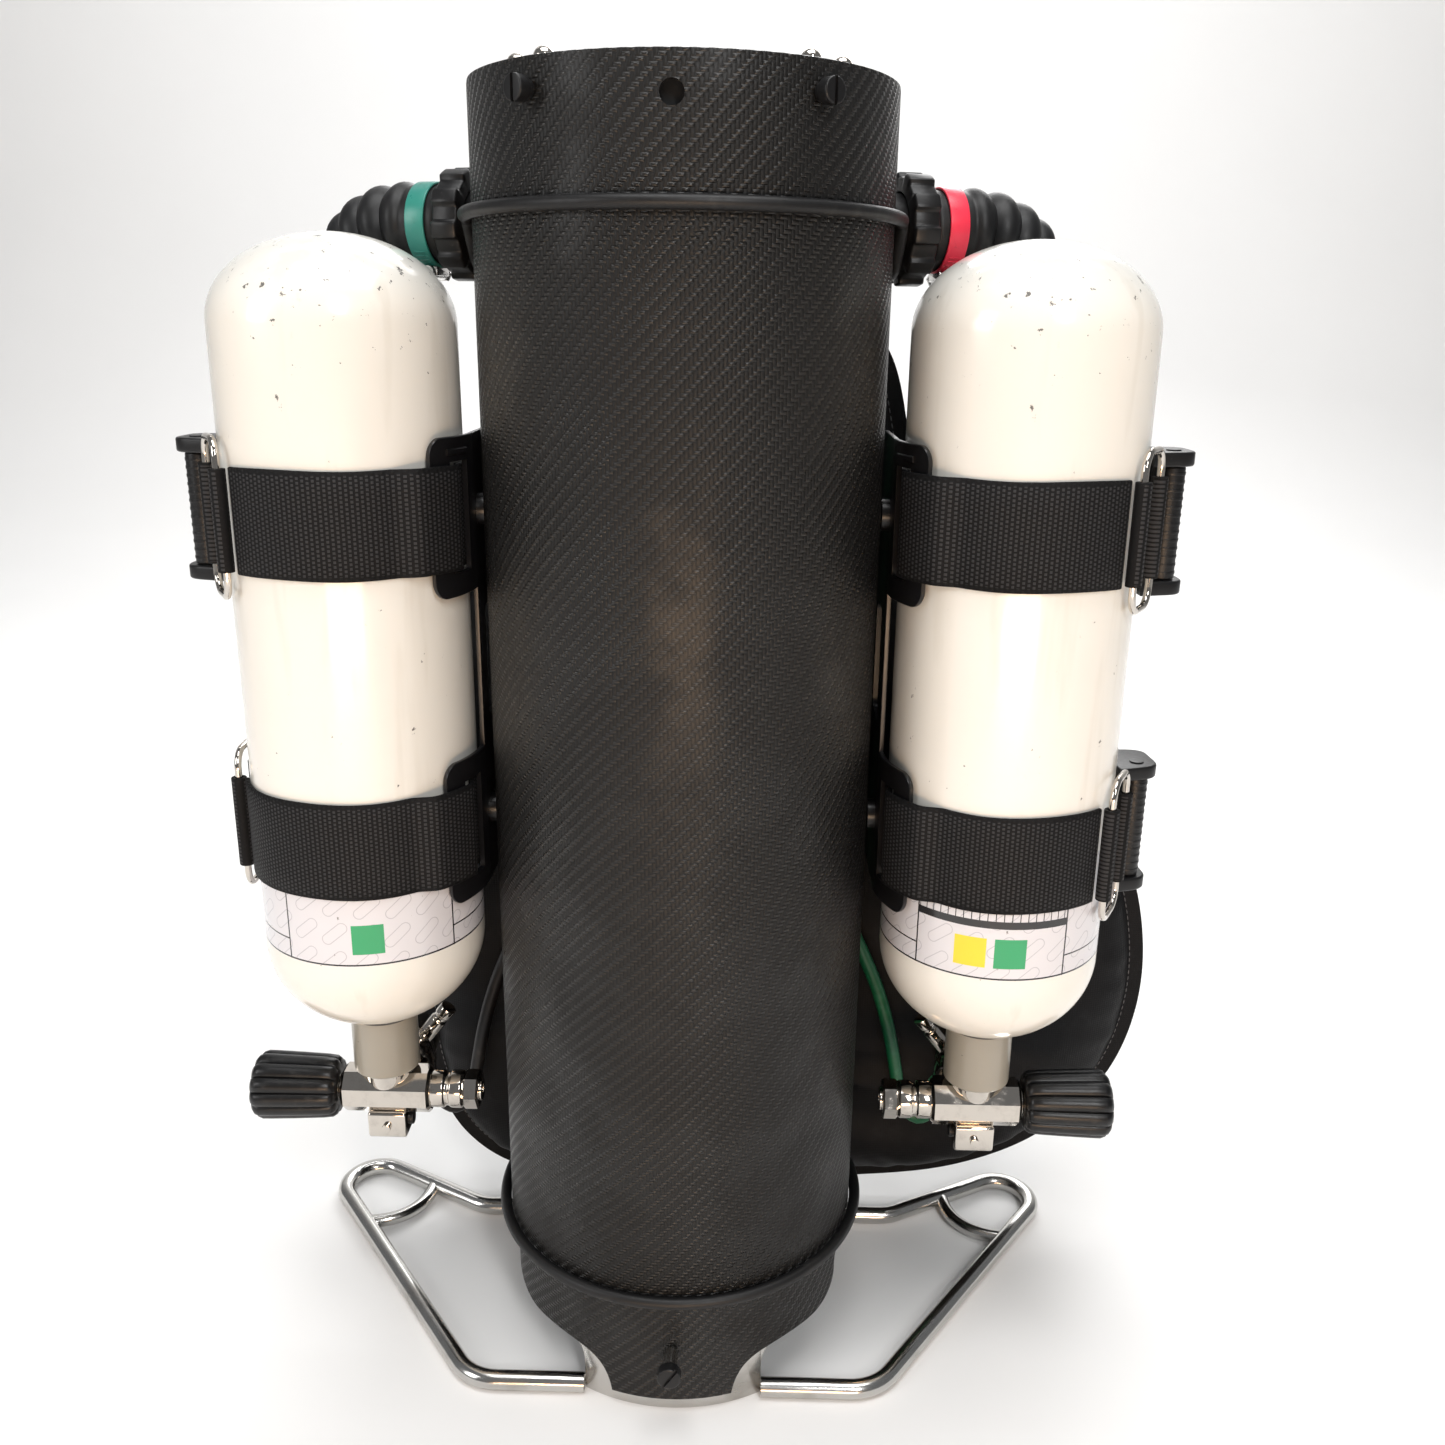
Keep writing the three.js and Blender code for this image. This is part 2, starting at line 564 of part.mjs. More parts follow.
function head() {
  const rim = 6;
  const bowl = solid(turned([
    [0, HEAD_BOTTOM], [CANISTER_RADIUS, HEAD_BOTTOM], [HEAD_RADIUS, HEAD_BOTTOM + 12],
    [HEAD_RADIUS, HEAD_TOP - 4], [HEAD_RADIUS - 4, HEAD_TOP], [HEAD_RADIUS - 4 - 4 * rim, HEAD_TOP],
    [HEAD_RADIUS - 8 - 4 * rim, HEAD_TOP - rim], [0, HEAD_TOP - rim],
  ], 32));
  const port = radial(disc(PORT_RADIUS, HEAD_RADIUS - 20, PORT_END), portAzimuth, PORT_Z);
  return joined(bowl, solid(port), solid(mirrored(port)));
}
addPiece('head', head(), BLACK_PLASTIC);

let nutNumber = 0;
for (const side of [-1, 1]) {
  for (const angle of DOME_NUT_ANGLES) {
    const dome = solid(new THREE.SphereGeometry(DOME_NUT_FLATS * 0.42, 12, 8).translate(0, 0, 6));
    const hexagon = solid(prism(DOME_NUT_FLATS, 6, 0, 6));
    const [x, y] = outward(side * angle);
    nutNumber += 1;
    addPiece(`dome_nut_${nutNumber}`, joined(hexagon, dome), CHROME,
      [x * DOME_NUT_CIRCLE, y * DOME_NUT_CIRCLE, HEAD_TOP + GAP]);
  }
}

// ---- inside the tube ----

addPiece('scrubber_canister', turned([
  [0, CANISTER_BOTTOM], [CANISTER_RADIUS, CANISTER_BOTTOM], [CANISTER_RADIUS, HEAD_BOTTOM - GAP],
  [CANISTER_RADIUS - CANISTER_WALL, HEAD_BOTTOM - GAP],
  [CANISTER_RADIUS - CANISTER_WALL, CANISTER_BOTTOM + CANISTER_WALL],
  [0, CANISTER_BOTTOM + CANISTER_WALL],
], 32), [0xd8d8d2, 0.5, 0]);
addPiece('absorbent_cartridge', disc(CANISTER_RADIUS - CANISTER_WALL - GAP,
  CANISTER_BOTTOM + CANISTER_WALL + GAP, CARTRIDGE_TOP, 32), [0xefeee8, 0.9, 0]);
addPiece('counterlung', turned([
  [0, COUNTERLUNG_BOTTOM], [COUNTERLUNG_RADIUS * 0.6, COUNTERLUNG_BOTTOM],
  [COUNTERLUNG_RADIUS * 0.92, COUNTERLUNG_BOTTOM + 18], [COUNTERLUNG_RADIUS, COUNTERLUNG_BOTTOM + 55],
  [COUNTERLUNG_RADIUS, CANISTER_BOTTOM - 60], [COUNTERLUNG_RADIUS * 0.92, CANISTER_BOTTOM - 22],
  [COUNTERLUNG_RADIUS * 0.6, CANISTER_BOTTOM - GAP], [0, CANISTER_BOTTOM - GAP],
], 24), [0x2b3f66, 0.7, 0]);
const cellBottom = HEAD_BOTTOM - GAP - SENSOR_LENGTH;
addPiece('oxygen_sensor', disc(SENSOR_RADIUS, cellBottom, HEAD_BOTTOM - GAP, 16)
  .translate(-CELL_OFFSET, 0, 0), [0xd9d9d9, 0.4, 0]);
addPiece('solenoid_valve', disc(SOLENOID_RADIUS, cellBottom, HEAD_BOTTOM - GAP, 16)
  .translate(CELL_OFFSET, 0, 0), STEEL);

// ---- union nuts and hose clamps on the ports ----

function unionNut() {
  const lugs = new THREE.Shape(Array.from({ length: 4 * NUT_LUGS }, (_, i) => {
    const angle = 2 * Math.PI * (i + 0.5) / (4 * NUT_LUGS);
    const radius = i % 4 < 2 ? NUT_RADIUS : NUT_RADIUS - 2.4;
    return new THREE.Vector2(radius * Math.cos(angle), radius * Math.sin(angle));
  }));
  const body = solid(plate(lugs, NUT_END - NUT_START).translate(0, 0, NUT_START))
    .subtract(solid(disc(PORT_RADIUS + 2 * GAP, NUT_START - 5, NUT_END + 5)));
  return radial(geometryOf(body), portAzimuth, PORT_Z);
}
addPair('hose_nut', unionNut(), BLACK_PLASTIC);

function hoseClamp() {
  const inner = CUFF_RADIUS + GAP;
  const band = solid(hollowRing(inner, inner + CLAMP_BAND, CLAMP_START, CLAMP_START + CLAMP_WIDTH, 28));
  const screwHousing = solid(box([9, 14, CLAMP_WIDTH - 1],
    [inner + CLAMP_BAND + 2.5, 0, CLAMP_START + CLAMP_WIDTH / 2]))
    .subtract(solid(disc(inner + 0.2, CLAMP_START - 5, CLAMP_START + CLAMP_WIDTH + 5, 28)));
  const whole = geometryOf(band.add(screwHousing));
  return radial(whole.rotateZ(Math.PI * CLAMP_SCREW_TURN), portAzimuth, PORT_Z);
}
const clamp = hoseClamp();
addPiece('hose_clamp_right', clamp, [0xe0354a, 0.4, 0]);
addPiece('hose_clamp_left', mirrored(clamp), [0x2f8576, 0.4, 0]);

// ---- breathing hoses and mouthpiece ----

const [portX, portY] = outward(portAzimuth);
const onPort = (distance) => new THREE.Vector3(portX * distance, portY * distance, PORT_Z);
const mouthTilt = radians(MOUTH_PORT_TILT);
// From the end of the right port: outwards, back and up.
const hoseRoute = [
  [29.7, 9, -0.5], [40.7, 14.6, -3.5], [51.7, 23.6, -10.5], [61.2, 35.6, -22.5], [67.7, 49.6, -39],
  [71.2, 64.6, -60], [70.7, 79.6, -84], [66.2, 93.6, -109], [57.7, 105.1, -133.5],
  [45.7, 114.1, -157], [30.7, 120.1, -178.5], [13.2, 123.6, -196.5],
];
const breathingHoseLine = new THREE.CatmullRomCurve3([
  onPort(PORT_END + GAP + CUFF_LENGTH),
  ...hoseRoute.map((step) => onPort(PORT_END).add(new THREE.Vector3(...step))),
  new THREE.Vector3(110.5, MOUTHPIECE_AT[1], MOUTHPIECE_AT[2] + 38),
  ...[90, 74, MOUTH_PORT_END + 1].map((x) => new THREE.Vector3(
    x, MOUTHPIECE_AT[1], MOUTHPIECE_AT[2] + (x - BARREL_HALF / 2) * Math.tan(mouthTilt))),
], false, 'centripetal').getPoints(26);

function breathingHose() {
  const cuff = radial(disc(CUFF_RADIUS, PORT_END + GAP, PORT_END + GAP + CUFF_LENGTH + 2, 20),
    portAzimuth, PORT_Z);
  return solid(rodThrough(breathingHoseLine, HOSE_RADIUS)).add(solid(cuff));
}
addPair('breathing_hose', breathingHose(), RUBBER);

function mouthpiece() {
  const barrel = disc(BARREL_RADIUS, -BARREL_HALF, BARREL_HALF).rotateY(Math.PI / 2);
  const portLength = (MOUTH_PORT_END - BARREL_HALF / 2) / Math.cos(mouthTilt);
  const port = disc(PORT_RADIUS, 0, portLength - 0.5, 16).rotateY(Math.PI / 2 - mouthTilt)
    .translate(BARREL_HALF / 2, 0, 0);
  const mouthTube = disc(MOUTH_TUBE_RADIUS, 0, MOUTH_TUBE_LENGTH, 16).rotateX(-Math.PI / 2);
  const bite = new THREE.SphereGeometry(1, 12, 8).scale(24, 9, 15).translate(0, MOUTH_TUBE_LENGTH, 0);
  return joined(...[barrel, port, mirrored(port), mouthTube, bite].map(solid));
}
addPiece('mouthpiece', mouthpiece(), BLACK_PLASTIC, MOUTHPIECE_AT);

function mouthpieceLever() {
  const inner = BARREL_RADIUS + 2.5 * GAP;
  const ring = solid(hollowRing(inner, inner + LEVER_RING_WALL, 0, LEVER_RING_WIDTH, 24));
  const paddle = solid(box([26, 14, LEVER_RING_WIDTH], [inner + 14, 0, LEVER_RING_WIDTH / 2]))
    .subtract(solid(disc(inner + 0.5, -5, LEVER_RING_WIDTH + 5, 24)));
  return geometryOf(ring.add(paddle)).rotateY(Math.PI / 2).translate(LEVER_RING_X, 0, 0);
}
addPiece('mouthpiece_lever', mouthpieceLever(), BLACK_PLASTIC, MOUTHPIECE_AT);

// ---- gas cylinders, neck down ----

function gasCylinder() {
  const arc = (radius, height, centre, from, to, steps) => Array.from({ length: steps + 1 }, (_, i) => {
    const angle = from + (to - from) * i / steps;
    return [radius * Math.cos(angle), centre + height * Math.sin(angle)];
  });
  const inner = CYLINDER_RADIUS - CYLINDER_WALL;
  const neckAngle = -Math.acos(NECK_RADIUS / CYLINDER_RADIUS);
  const boreAngle = -Math.acos(NECK_BORE / inner);
  return turned([
    ...arc(CYLINDER_RADIUS, DOME_HEIGHT, DOME_BASE, Math.PI / 2, 0, 6),
    ...arc(CYLINDER_RADIUS, BOWL_HEIGHT, BOWL_EDGE, 0, neckAngle, 5),
    [NECK_RADIUS, NECK_BOTTOM], [NECK_BORE, NECK_BOTTOM],
    ...arc(inner, BOWL_HEIGHT - CYLINDER_WALL, BOWL_EDGE, boreAngle, 0, 3),
    ...arc(inner, DOME_HEIGHT - CYLINDER_WALL, DOME_BASE, 0, Math.PI / 2, 3),
  ], 24);
}
addPair('cylinder', gasCylinder(), WHITE_PAINT, [CYLINDER_X, CYLINDER_Y, 0]);

// ---- valves: the handwheel is on the outer side, the blanking plug on the inner side ----

const alongX = (geometry) => geometry.rotateY(Math.PI / 2);

function valveBody() {
  const stemTop = NECK_BOTTOM + 18 - VALVE_Z;
  const pieces = [
    alongX(prism(VALVE_FLATS, 8, -VALVE_HALF, VALVE_HALF)),
    alongX(disc(OUTLET_RADIUS, -VALVE_HALF - OUTLET_LENGTH, -VALVE_HALF + 1, 16)),
    alongX(prism(PLUG_FLATS, 6, -VALVE_HALF - OUTLET_LENGTH - PLUG_LENGTH,
      -VALVE_HALF - OUTLET_LENGTH + 1)),
    alongX(disc(SPINDLE_RADIUS, VALVE_HALF - 1, VALVE_HALF + SPINDLE_LENGTH, 12)),
    disc(NECK_BORE + 2, 0, NECK_BOTTOM - VALVE_Z - GAP, 20),
    disc(NECK_BORE - GAP, 0, stemTop, 20),
    box(LOWER_BOSS, [0, 0, -VALVE_FLATS / 2 - LOWER_BOSS[2] / 2 + 0.5]),
    disc(OUTLET_RADIUS, 0, STAGE_START - GAP, 16).rotateX(-Math.PI / 2),
  ];
  return joined(...pieces.map(solid));
}
const valvePlace = [CYLINDER_X, CYLINDER_Y, VALVE_Z];
addPair('valve_body', valveBody(), CHROME, valvePlace);

function handwheel() {
  const points = HANDWHEEL_RIBS * 4;
  const outline = new THREE.Shape(Array.from({ length: points }, (_, i) => {
    const angle = 2 * Math.PI * i / points;
    const radius = HANDWHEEL_RADIUS - 2 + RIB_HEIGHT * Math.cos(HANDWHEEL_RIBS * angle);
    return new THREE.Vector2(radius * Math.cos(angle), radius * Math.sin(angle));
  }));
  const barrel = new THREE.ExtrudeGeometry(outline, {
    depth: HANDWHEEL_LENGTH - 8, bevelEnabled: true, bevelThickness: 4, bevelSize: 2, bevelSegments: 1,
  }).translate(0, 0, 4);
  const bore = disc(SPINDLE_RADIUS + GAP, -2, SPINDLE_LENGTH + 2, 12);
  return alongX(geometryOf(solid(barrel).subtract(solid(bore)))).translate(VALVE_HALF + 2 * GAP, 0, 0);
}
addPair('handwheel', handwheel(), RUBBER, valvePlace);

function firstStage() {
  const bodyStart = STAGE_START + STAGE_WHEEL_LENGTH;
  const bodyEnd = bodyStart + STAGE_BODY_LENGTH;
  const turnedBody = turned([
    [0, STAGE_START], [STAGE_WHEEL_RADIUS - 1.5, STAGE_START], [STAGE_WHEEL_RADIUS, STAGE_START + 1.5],
    [STAGE_WHEEL_RADIUS, bodyStart - 1.5], [STAGE_WHEEL_RADIUS - 1.5, bodyStart],
    [STAGE_BODY_RADIUS, bodyStart], [STAGE_BODY_RADIUS, bodyEnd - 3], [STAGE_BODY_RADIUS - 3, bodyEnd],
    [0, bodyEnd],
  ], 18).rotateX(-Math.PI / 2);
  const upperPort = disc(UPPER_PORT_RADIUS, 0, UPPER_PORT_LENGTH, 12)
    .rotateY(-radians(UPPER_PORT_TILT)).translate(-4, bodyStart + 9, 0);
  const lowerPort = disc(LOWER_PORT_RADIUS, -LOWER_PORT_LENGTH, 0, 12).translate(...STAGE_PORT, 0);
  return joined(...[turnedBody, upperPort, lowerPort].map(solid));
}
addPair('first_stage', firstStage(), CHROME, valvePlace);

// ---- brackets that hold the cylinders to the tube ----

const strapInner = CYLINDER_RADIUS + GAP;
const earInner = strapInner + STRAP_THICKNESS + 2 * GAP;
const earOuter = earInner + PLATE_THICKNESS;

// A point in plan round a cylinder's axis, at an azimuth from its front, outwards positive.
const aroundCylinder = (radius, azimuth) =>
  new THREE.Vector2(...outward(azimuth)).multiplyScalar(radius);

function bandShape(centre, halfThickness, from, to, step) {
  const count = Math.ceil(Math.abs(to - from) / step);
  const azimuths = Array.from({ length: count + 1 }, (_, i) => from + (to - from) * i / count);
  const outer = azimuths.map((azimuth) => aroundCylinder(centre(azimuth) + halfThickness, azimuth));
  const inner = azimuths.map((azimuth) => aroundCylinder(centre(azimuth) - halfThickness, azimuth));
  return new THREE.Shape([...outer, ...inner.reverse()]);
}

function ear(height) {
  const middle = (earInner + earOuter) / 2;
  const strip = plate(bandShape(() => middle, PLATE_THICKNESS / 2, EAR_END, EAR_START, 8), EAR_HEIGHT)
    .translate(0, 0, height - EAR_HEIGHT / 2);
  const reach = aroundCylinder(earOuter, EAR_END).x;
  const [left, bottom, top] = [-earOuter - 5, height - EAR_HEIGHT / 2, height + EAR_HEIGHT / 2];
  const outline = new THREE.Shape();
  outline.moveTo(left, bottom);
  outline.lineTo(reach - EAR_CORNER, bottom);
  outline.absarc(reach - EAR_CORNER, bottom + EAR_CORNER, EAR_CORNER, -Math.PI / 2, 0);
  outline.absarc(reach - EAR_CORNER, top - EAR_CORNER, EAR_CORNER, 0, Math.PI / 2);
  outline.lineTo(left, top);
  const slot = bandShape(() => middle, PLATE_THICKNESS, SLOT_ANGLES[1], SLOT_ANGLES[0], 4);
  const slotHeight = STRAP_WIDTH + 2 * SLOT_CLEARANCE;
  return solid(strip).intersect(solid(slabAlongY(outline, -earOuter - 5, 5)))
    .subtract(solid(plate(slot, slotHeight).translate(0, 0, height - slotHeight / 2)));
}

function bracket() {
  const bottom = STRAP_HEIGHTS.lower - EAR_HEIGHT / 2;
  const top = STRAP_HEIGHTS.upper + EAR_HEIGHT / 2;
  const side = box([PLATE_THICKNESS, SIDE_PLATE_REAR - CYLINDER_Y, top - bottom],
    [-(earInner + earOuter) / 2, (SIDE_PLATE_REAR - CYLINDER_Y) / 2, (top + bottom) / 2]);
  const bossLength = CYLINDER_X - earOuter - TUBE_RADIUS - GAP;
  const bosses = [STRAP_HEIGHTS.lower, STRAP_HEIGHTS.upper].map((height) =>
    alongX(disc(BOSS_RADIUS, -bossLength, 1, 16)).translate(-earOuter, -CYLINDER_Y, height));
  const window = box([20, SIDE_WINDOW, STRAP_HEIGHTS.upper - STRAP_HEIGHTS.lower - EAR_HEIGHT - 24],
    [-earOuter, (SIDE_PLATE_REAR - CYLINDER_Y) / 2, (top + bottom) / 2]);
  return joined(ear(STRAP_HEIGHTS.upper), ear(STRAP_HEIGHTS.lower), solid(side), ...bosses.map(solid))
    .subtract(solid(window));
}
const cylinderPlace = [CYLINDER_X, CYLINDER_Y, 0];
addPair('bracket', bracket(), BLACK_SHEET, cylinderPlace);

// ---- straps, wire rings and buckles ----

// The strap hugs the cylinder, climbs over the ear and drops through its slot to run behind.
function strapCentre(azimuth) {
  const low = strapInner + STRAP_THICKNESS / 2;
  const high = earOuter + 2 * GAP + STRAP_THICKNESS / 2;
  const climb = THREE.MathUtils.smoothstep(EAR_END + 18 - azimuth, 0, 12);
  const drop = THREE.MathUtils.smoothstep(SLOT_ANGLES[1] - 2 - azimuth, 0, 10);
  return low + (high - low) * (climb - drop);
}

function wireRing() {
  const corners = [
    [0, -RING_HALF_HEIGHT], [RING_HALF_WIDTH, -RING_HALF_HEIGHT], [RING_HALF_WIDTH, RING_HALF_HEIGHT],
    [-RING_HALF_WIDTH, RING_HALF_HEIGHT], [-RING_HALF_WIDTH, -RING_HALF_HEIGHT], [-2, -RING_HALF_HEIGHT],
  ].map(([across, up]) => new THREE.Vector3(across, -RING_DISTANCE, up));
  const bends = Array(4).fill(RING_BEND);
  return rodThrough(bentStations(corners, bends), WIRE_RADIUS, 6);
}

function buckleOutline() {
  const base = CYLINDER_RADIUS + 3 * GAP;
  const top = CYLINDER_RADIUS + BUCKLE_REACH;
  const shape = new THREE.Shape();
  shape.moveTo(BUCKLE_FRONT, -base);
  shape.lineTo(BUCKLE_FRONT + 3.5, -top + BUCKLE_BEND);
  shape.quadraticCurveTo(BUCKLE_FRONT + 5.5, -top, BUCKLE_FRONT + 14.5, -top);
  shape.lineTo(BUCKLE_REAR - 7.5, -top);
  shape.quadraticCurveTo(BUCKLE_REAR - 0.5, -top, BUCKLE_REAR, -top + BUCKLE_BEND + 1);
  shape.lineTo(BUCKLE_REAR, -base);
  return shape;
}

function buckleFrame() {
  const lowerCap = plate(buckleOutline(), BUCKLE_CAP).translate(0, 0, -BUCKLE_HALF_HEIGHT);
  const upperCap = plate(buckleOutline(), BUCKLE_CAP)
    .translate(0, 0, BUCKLE_HALF_HEIGHT - BUCKLE_CAP);
  const base = box([...BUCKLE_BASE, 2 * BUCKLE_HALF_HEIGHT - 2],
    [1, -CYLINDER_RADIUS - 3 * GAP - BUCKLE_BASE[1] / 2, 0]);
  return joined(...[lowerCap, upperCap, base].map(solid));
}

function buckleLever() {
  const height = 2 * (BUCKLE_HALF_HEIGHT - BUCKLE_CAP - 2 * GAP);
  const [pivotX, pivotOut] = LEVER_PIVOT;
  const cam = disc(LEVER_CAM_RADIUS, -height / 2, height / 2, 16).translate(pivotX, -pivotOut, 0);
  const arm = box([LEVER_ARM, LEVER_THICKNESS, height], [LEVER_ARM / 2, 0, 0])
    .rotateZ(radians(LEVER_TILT)).translate(pivotX + 1, -pivotOut, 0);
  return joined(solid(cam), solid(arm));
}

for (const [level, height] of Object.entries(STRAP_HEIGHTS)) {
  for (const side of ['right', 'left']) {
    const turn = BUCKLE_TURNS[`${level}_${side}`];
    const seen = (geometry) => (side === 'left' ? mirrored(geometry) : geometry);
    const place = [side === 'left' ? -CYLINDER_X : CYLINDER_X, CYLINDER_Y, height];
    const rotated = (geometry, azimuth) => seen(geometry.rotateZ(radians(azimuth + turn)));
    const band = bandShape(strapCentre, STRAP_THICKNESS / 2, STRAP_END + turn, STRAP_TAIL + turn, 7);
    addPiece(`strap_${level}_${side}`, seen(plate(band, STRAP_WIDTH).translate(0, 0, -STRAP_WIDTH / 2)),
      WEBBING, place);
    addPiece(`strap_ring_${level}_${side}`, rotated(wireRing(), RING_ANGLE), CHROME, place);
    addPiece(`buckle_frame_${level}_${side}`, rotated(geometryOf(buckleFrame()), BUCKLE_ANGLE),
      BLACK_PLASTIC, place);
    addPiece(`buckle_lever_${level}_${side}`, rotated(geometryOf(buckleLever()), BUCKLE_ANGLE),
      BLACK_PLASTIC, place);
  }
}

// ---- buoyancy wing and backplate on the diver's side ----

const WING_TOP = TUBE_TOP - 93;
const WING_OUTLINE = [
  [60, 562], [104, 548], [128, 470], [158, 385], [218, 318], [268, 248], [286, 165], [272, 98],
  [232, 50], [180, 24], [110, 13], [0, 12.5], [-108, 13], [-148, 40], [-168, 90], [-172, 180],
  [-160, 310], [-126, 450], [-104, 545], [-60, 562], [0, 564], [60, 562],
];

function wing() {
  const drawnTop = Math.max(...WING_OUTLINE.map((point) => point[1]));
  const outline = new THREE.SplineCurve(WING_OUTLINE.map(([x, z]) =>
    new THREE.Vector2(x, z * WING_TOP / drawnTop))).getPoints(60);
  const slab = slabAlongY(new THREE.Shape(outline.slice(0, -1)), WING_FRONT_Y, BACKPLATE_Y - GAP);
  const hollow = disc(cordCircle + CORD_RADIUS + GAP, 0, TUBE_TOP, TUBE_FACETS);
  return solid(slab).subtract(solid(hollow));
}
addPiece('wing', wing(), FABRIC);

function backplate() {
  const corners = [
    [-BACKPLATE_HALF_BOTTOM, BACKPLATE_BOTTOM], [BACKPLATE_HALF_BOTTOM, BACKPLATE_BOTTOM],
    [BACKPLATE_HALF_BOTTOM, BACKPLATE_BOTTOM + BACKPLATE_WAIST], [BACKPLATE_HALF_TOP, BACKPLATE_TOP],
    [-BACKPLATE_HALF_TOP, BACKPLATE_TOP], [-BACKPLATE_HALF_BOTTOM, BACKPLATE_BOTTOM + BACKPLATE_WAIST],
  ].map((point) => new THREE.Vector3(...point, 0));
  const start = corners[0].clone().lerp(corners[1], 0.5);
  const loop = [start, ...corners.slice(1), corners[0], start];
  const stations = bentStations(loop, Array(6).fill(BACKPLATE_CORNER));
  const outline = new THREE.Shape(stations.slice(0, -1).map((point) => new THREE.Vector2(point.x, point.y)));
  const rear = BACKPLATE_Y + BACKPLATE_THICKNESS;
  const slotAt = (x, z, turn) => box([HARNESS_SLOT[0], 20, HARNESS_SLOT[1]], [0, 0, 0])
    .rotateY(radians(turn)).translate(x, BACKPLATE_Y, z);
  const slots = [
    slotAt(38, BACKPLATE_TOP - 28, 22), slotAt(BACKPLATE_HALF_BOTTOM - 18, BACKPLATE_BOTTOM + 66, 90),
    slotAt(BACKPLATE_HALF_BOTTOM - 44, BACKPLATE_BOTTOM + 66, 90),
  ];
  const holes = [0.3, 0.75].map((share) =>
    disc(BACKPLATE_HOLE_RADIUS, -5, 20, 20).rotateX(-Math.PI / 2)
      .translate(0, BACKPLATE_Y, BACKPLATE_BOTTOM + share * (BACKPLATE_TOP - BACKPLATE_BOTTOM)));
  return [...slots, ...slots.map(mirrored), ...holes]
    .reduce((body, cutter) => body.subtract(solid(cutter)), solid(slabAlongY(outline, BACKPLATE_Y, rear)));
}
addPiece('backplate', backplate(), BLACK_SHEET);

// ---- origin at the centre of the footprint, leaving out the free breathing hoses ----

const onHose = /^(breathing_hose|mouthpiece)/;
const footprint = new THREE.Box3();
for (const mesh of unit.children.filter((child) => !onHose.test(child.name))) {
  mesh.updateMatrixWorld();
  footprint.expandByObject(mesh, true);
}
const centre = footprint.getCenter(new THREE.Vector3());
unit.position.set(-centre.x, -centre.y, 0);

export default unit;
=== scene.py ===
"""A back-mounted closed-circuit breathing unit for divers, standing on its own foot frame.

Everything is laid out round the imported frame: +Z is up, and the side away from the diver faces -Y.
Shapes are worked out in millimetres and become metres when they turn into meshes.
"""

import math

import bmesh
import bpy
import numpy as np
from mathutils import Matrix, Vector


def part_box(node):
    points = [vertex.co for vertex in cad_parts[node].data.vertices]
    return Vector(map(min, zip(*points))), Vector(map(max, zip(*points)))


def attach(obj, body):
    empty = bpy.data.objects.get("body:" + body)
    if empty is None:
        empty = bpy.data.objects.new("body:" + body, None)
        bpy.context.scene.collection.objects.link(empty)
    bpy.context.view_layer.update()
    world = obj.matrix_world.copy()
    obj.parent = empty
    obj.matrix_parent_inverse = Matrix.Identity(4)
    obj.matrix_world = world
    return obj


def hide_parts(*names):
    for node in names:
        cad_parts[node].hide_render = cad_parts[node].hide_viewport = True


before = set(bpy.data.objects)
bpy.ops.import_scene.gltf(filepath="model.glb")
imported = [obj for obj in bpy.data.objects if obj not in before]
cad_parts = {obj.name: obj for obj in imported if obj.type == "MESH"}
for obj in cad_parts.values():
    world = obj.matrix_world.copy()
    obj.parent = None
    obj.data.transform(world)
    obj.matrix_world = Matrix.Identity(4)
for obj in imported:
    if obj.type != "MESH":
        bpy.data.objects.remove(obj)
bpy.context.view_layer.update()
MM = 0.001


# ---- camera ----
# It stands at chest height in front of the unit, tipped down a little towards its foot.

def middle_of(node):
    """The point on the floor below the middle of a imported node."""
    low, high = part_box(node)
    return Vector(((low.x + high.x) / 2, (low.y + high.y) / 2, 0))


tube_axis = middle_of("housing_tube")

camera_data = bpy.data.cameras.new("camera")
camera_data.lens = 32.39
camera_data.sensor_width = 36
camera = bpy.data.objects.new("camera", camera_data)
bpy.context.scene.collection.objects.link(camera)
camera.matrix_world = (
    Matrix.Translation(tube_axis + Vector((33, -651, 556)) * MM)
    @ Matrix.Rotation(math.radians(1.06), 4, "Z")
    @ Matrix.Rotation(math.radians(90 - 17.14), 4, "X")
    @ Matrix.Rotation(math.radians(0.73), 4, "Z")
)
bpy.context.scene.camera = camera


# ---- breathing hoses ----
# Two corrugated rubber hoses, each moulded in one piece with a smooth cuff at its end. They push
# onto the head's ports, loop out and back over the diver's shoulders, and end at the mouthpiece.

class Form:
    """Points in millimetres and the faces between them, before they become a mesh."""

    def __init__(self, points, faces):
        self.points = np.array(points, float).reshape(-1, 3)
        self.faces = [tuple(face) for face in faces]

    def __add__(self, other):
        first = len(self.points)
        shifted = [tuple(corner + first for corner in face) for face in other.faces]
        return Form(np.vstack([self.points, other.points]), self.faces + shifted)

    def move(self, x=0.0, y=0.0, z=0.0):
        return Form(self.points + (x, y, z), self.faces)

    def turn(self, degrees, axis):
        rotation = np.array(Matrix.Rotation(math.radians(degrees), 3, axis))
        return Form(self.points @ rotation.T, self.faces)

    def mirror(self):
        return Form(self.points * (-1, 1, 1), [face[::-1] for face in self.faces])

    def on(self, hand):
        """As made on the right, where hand is 1, and mirrored on the left."""
        return self if hand == 1 else self.mirror()


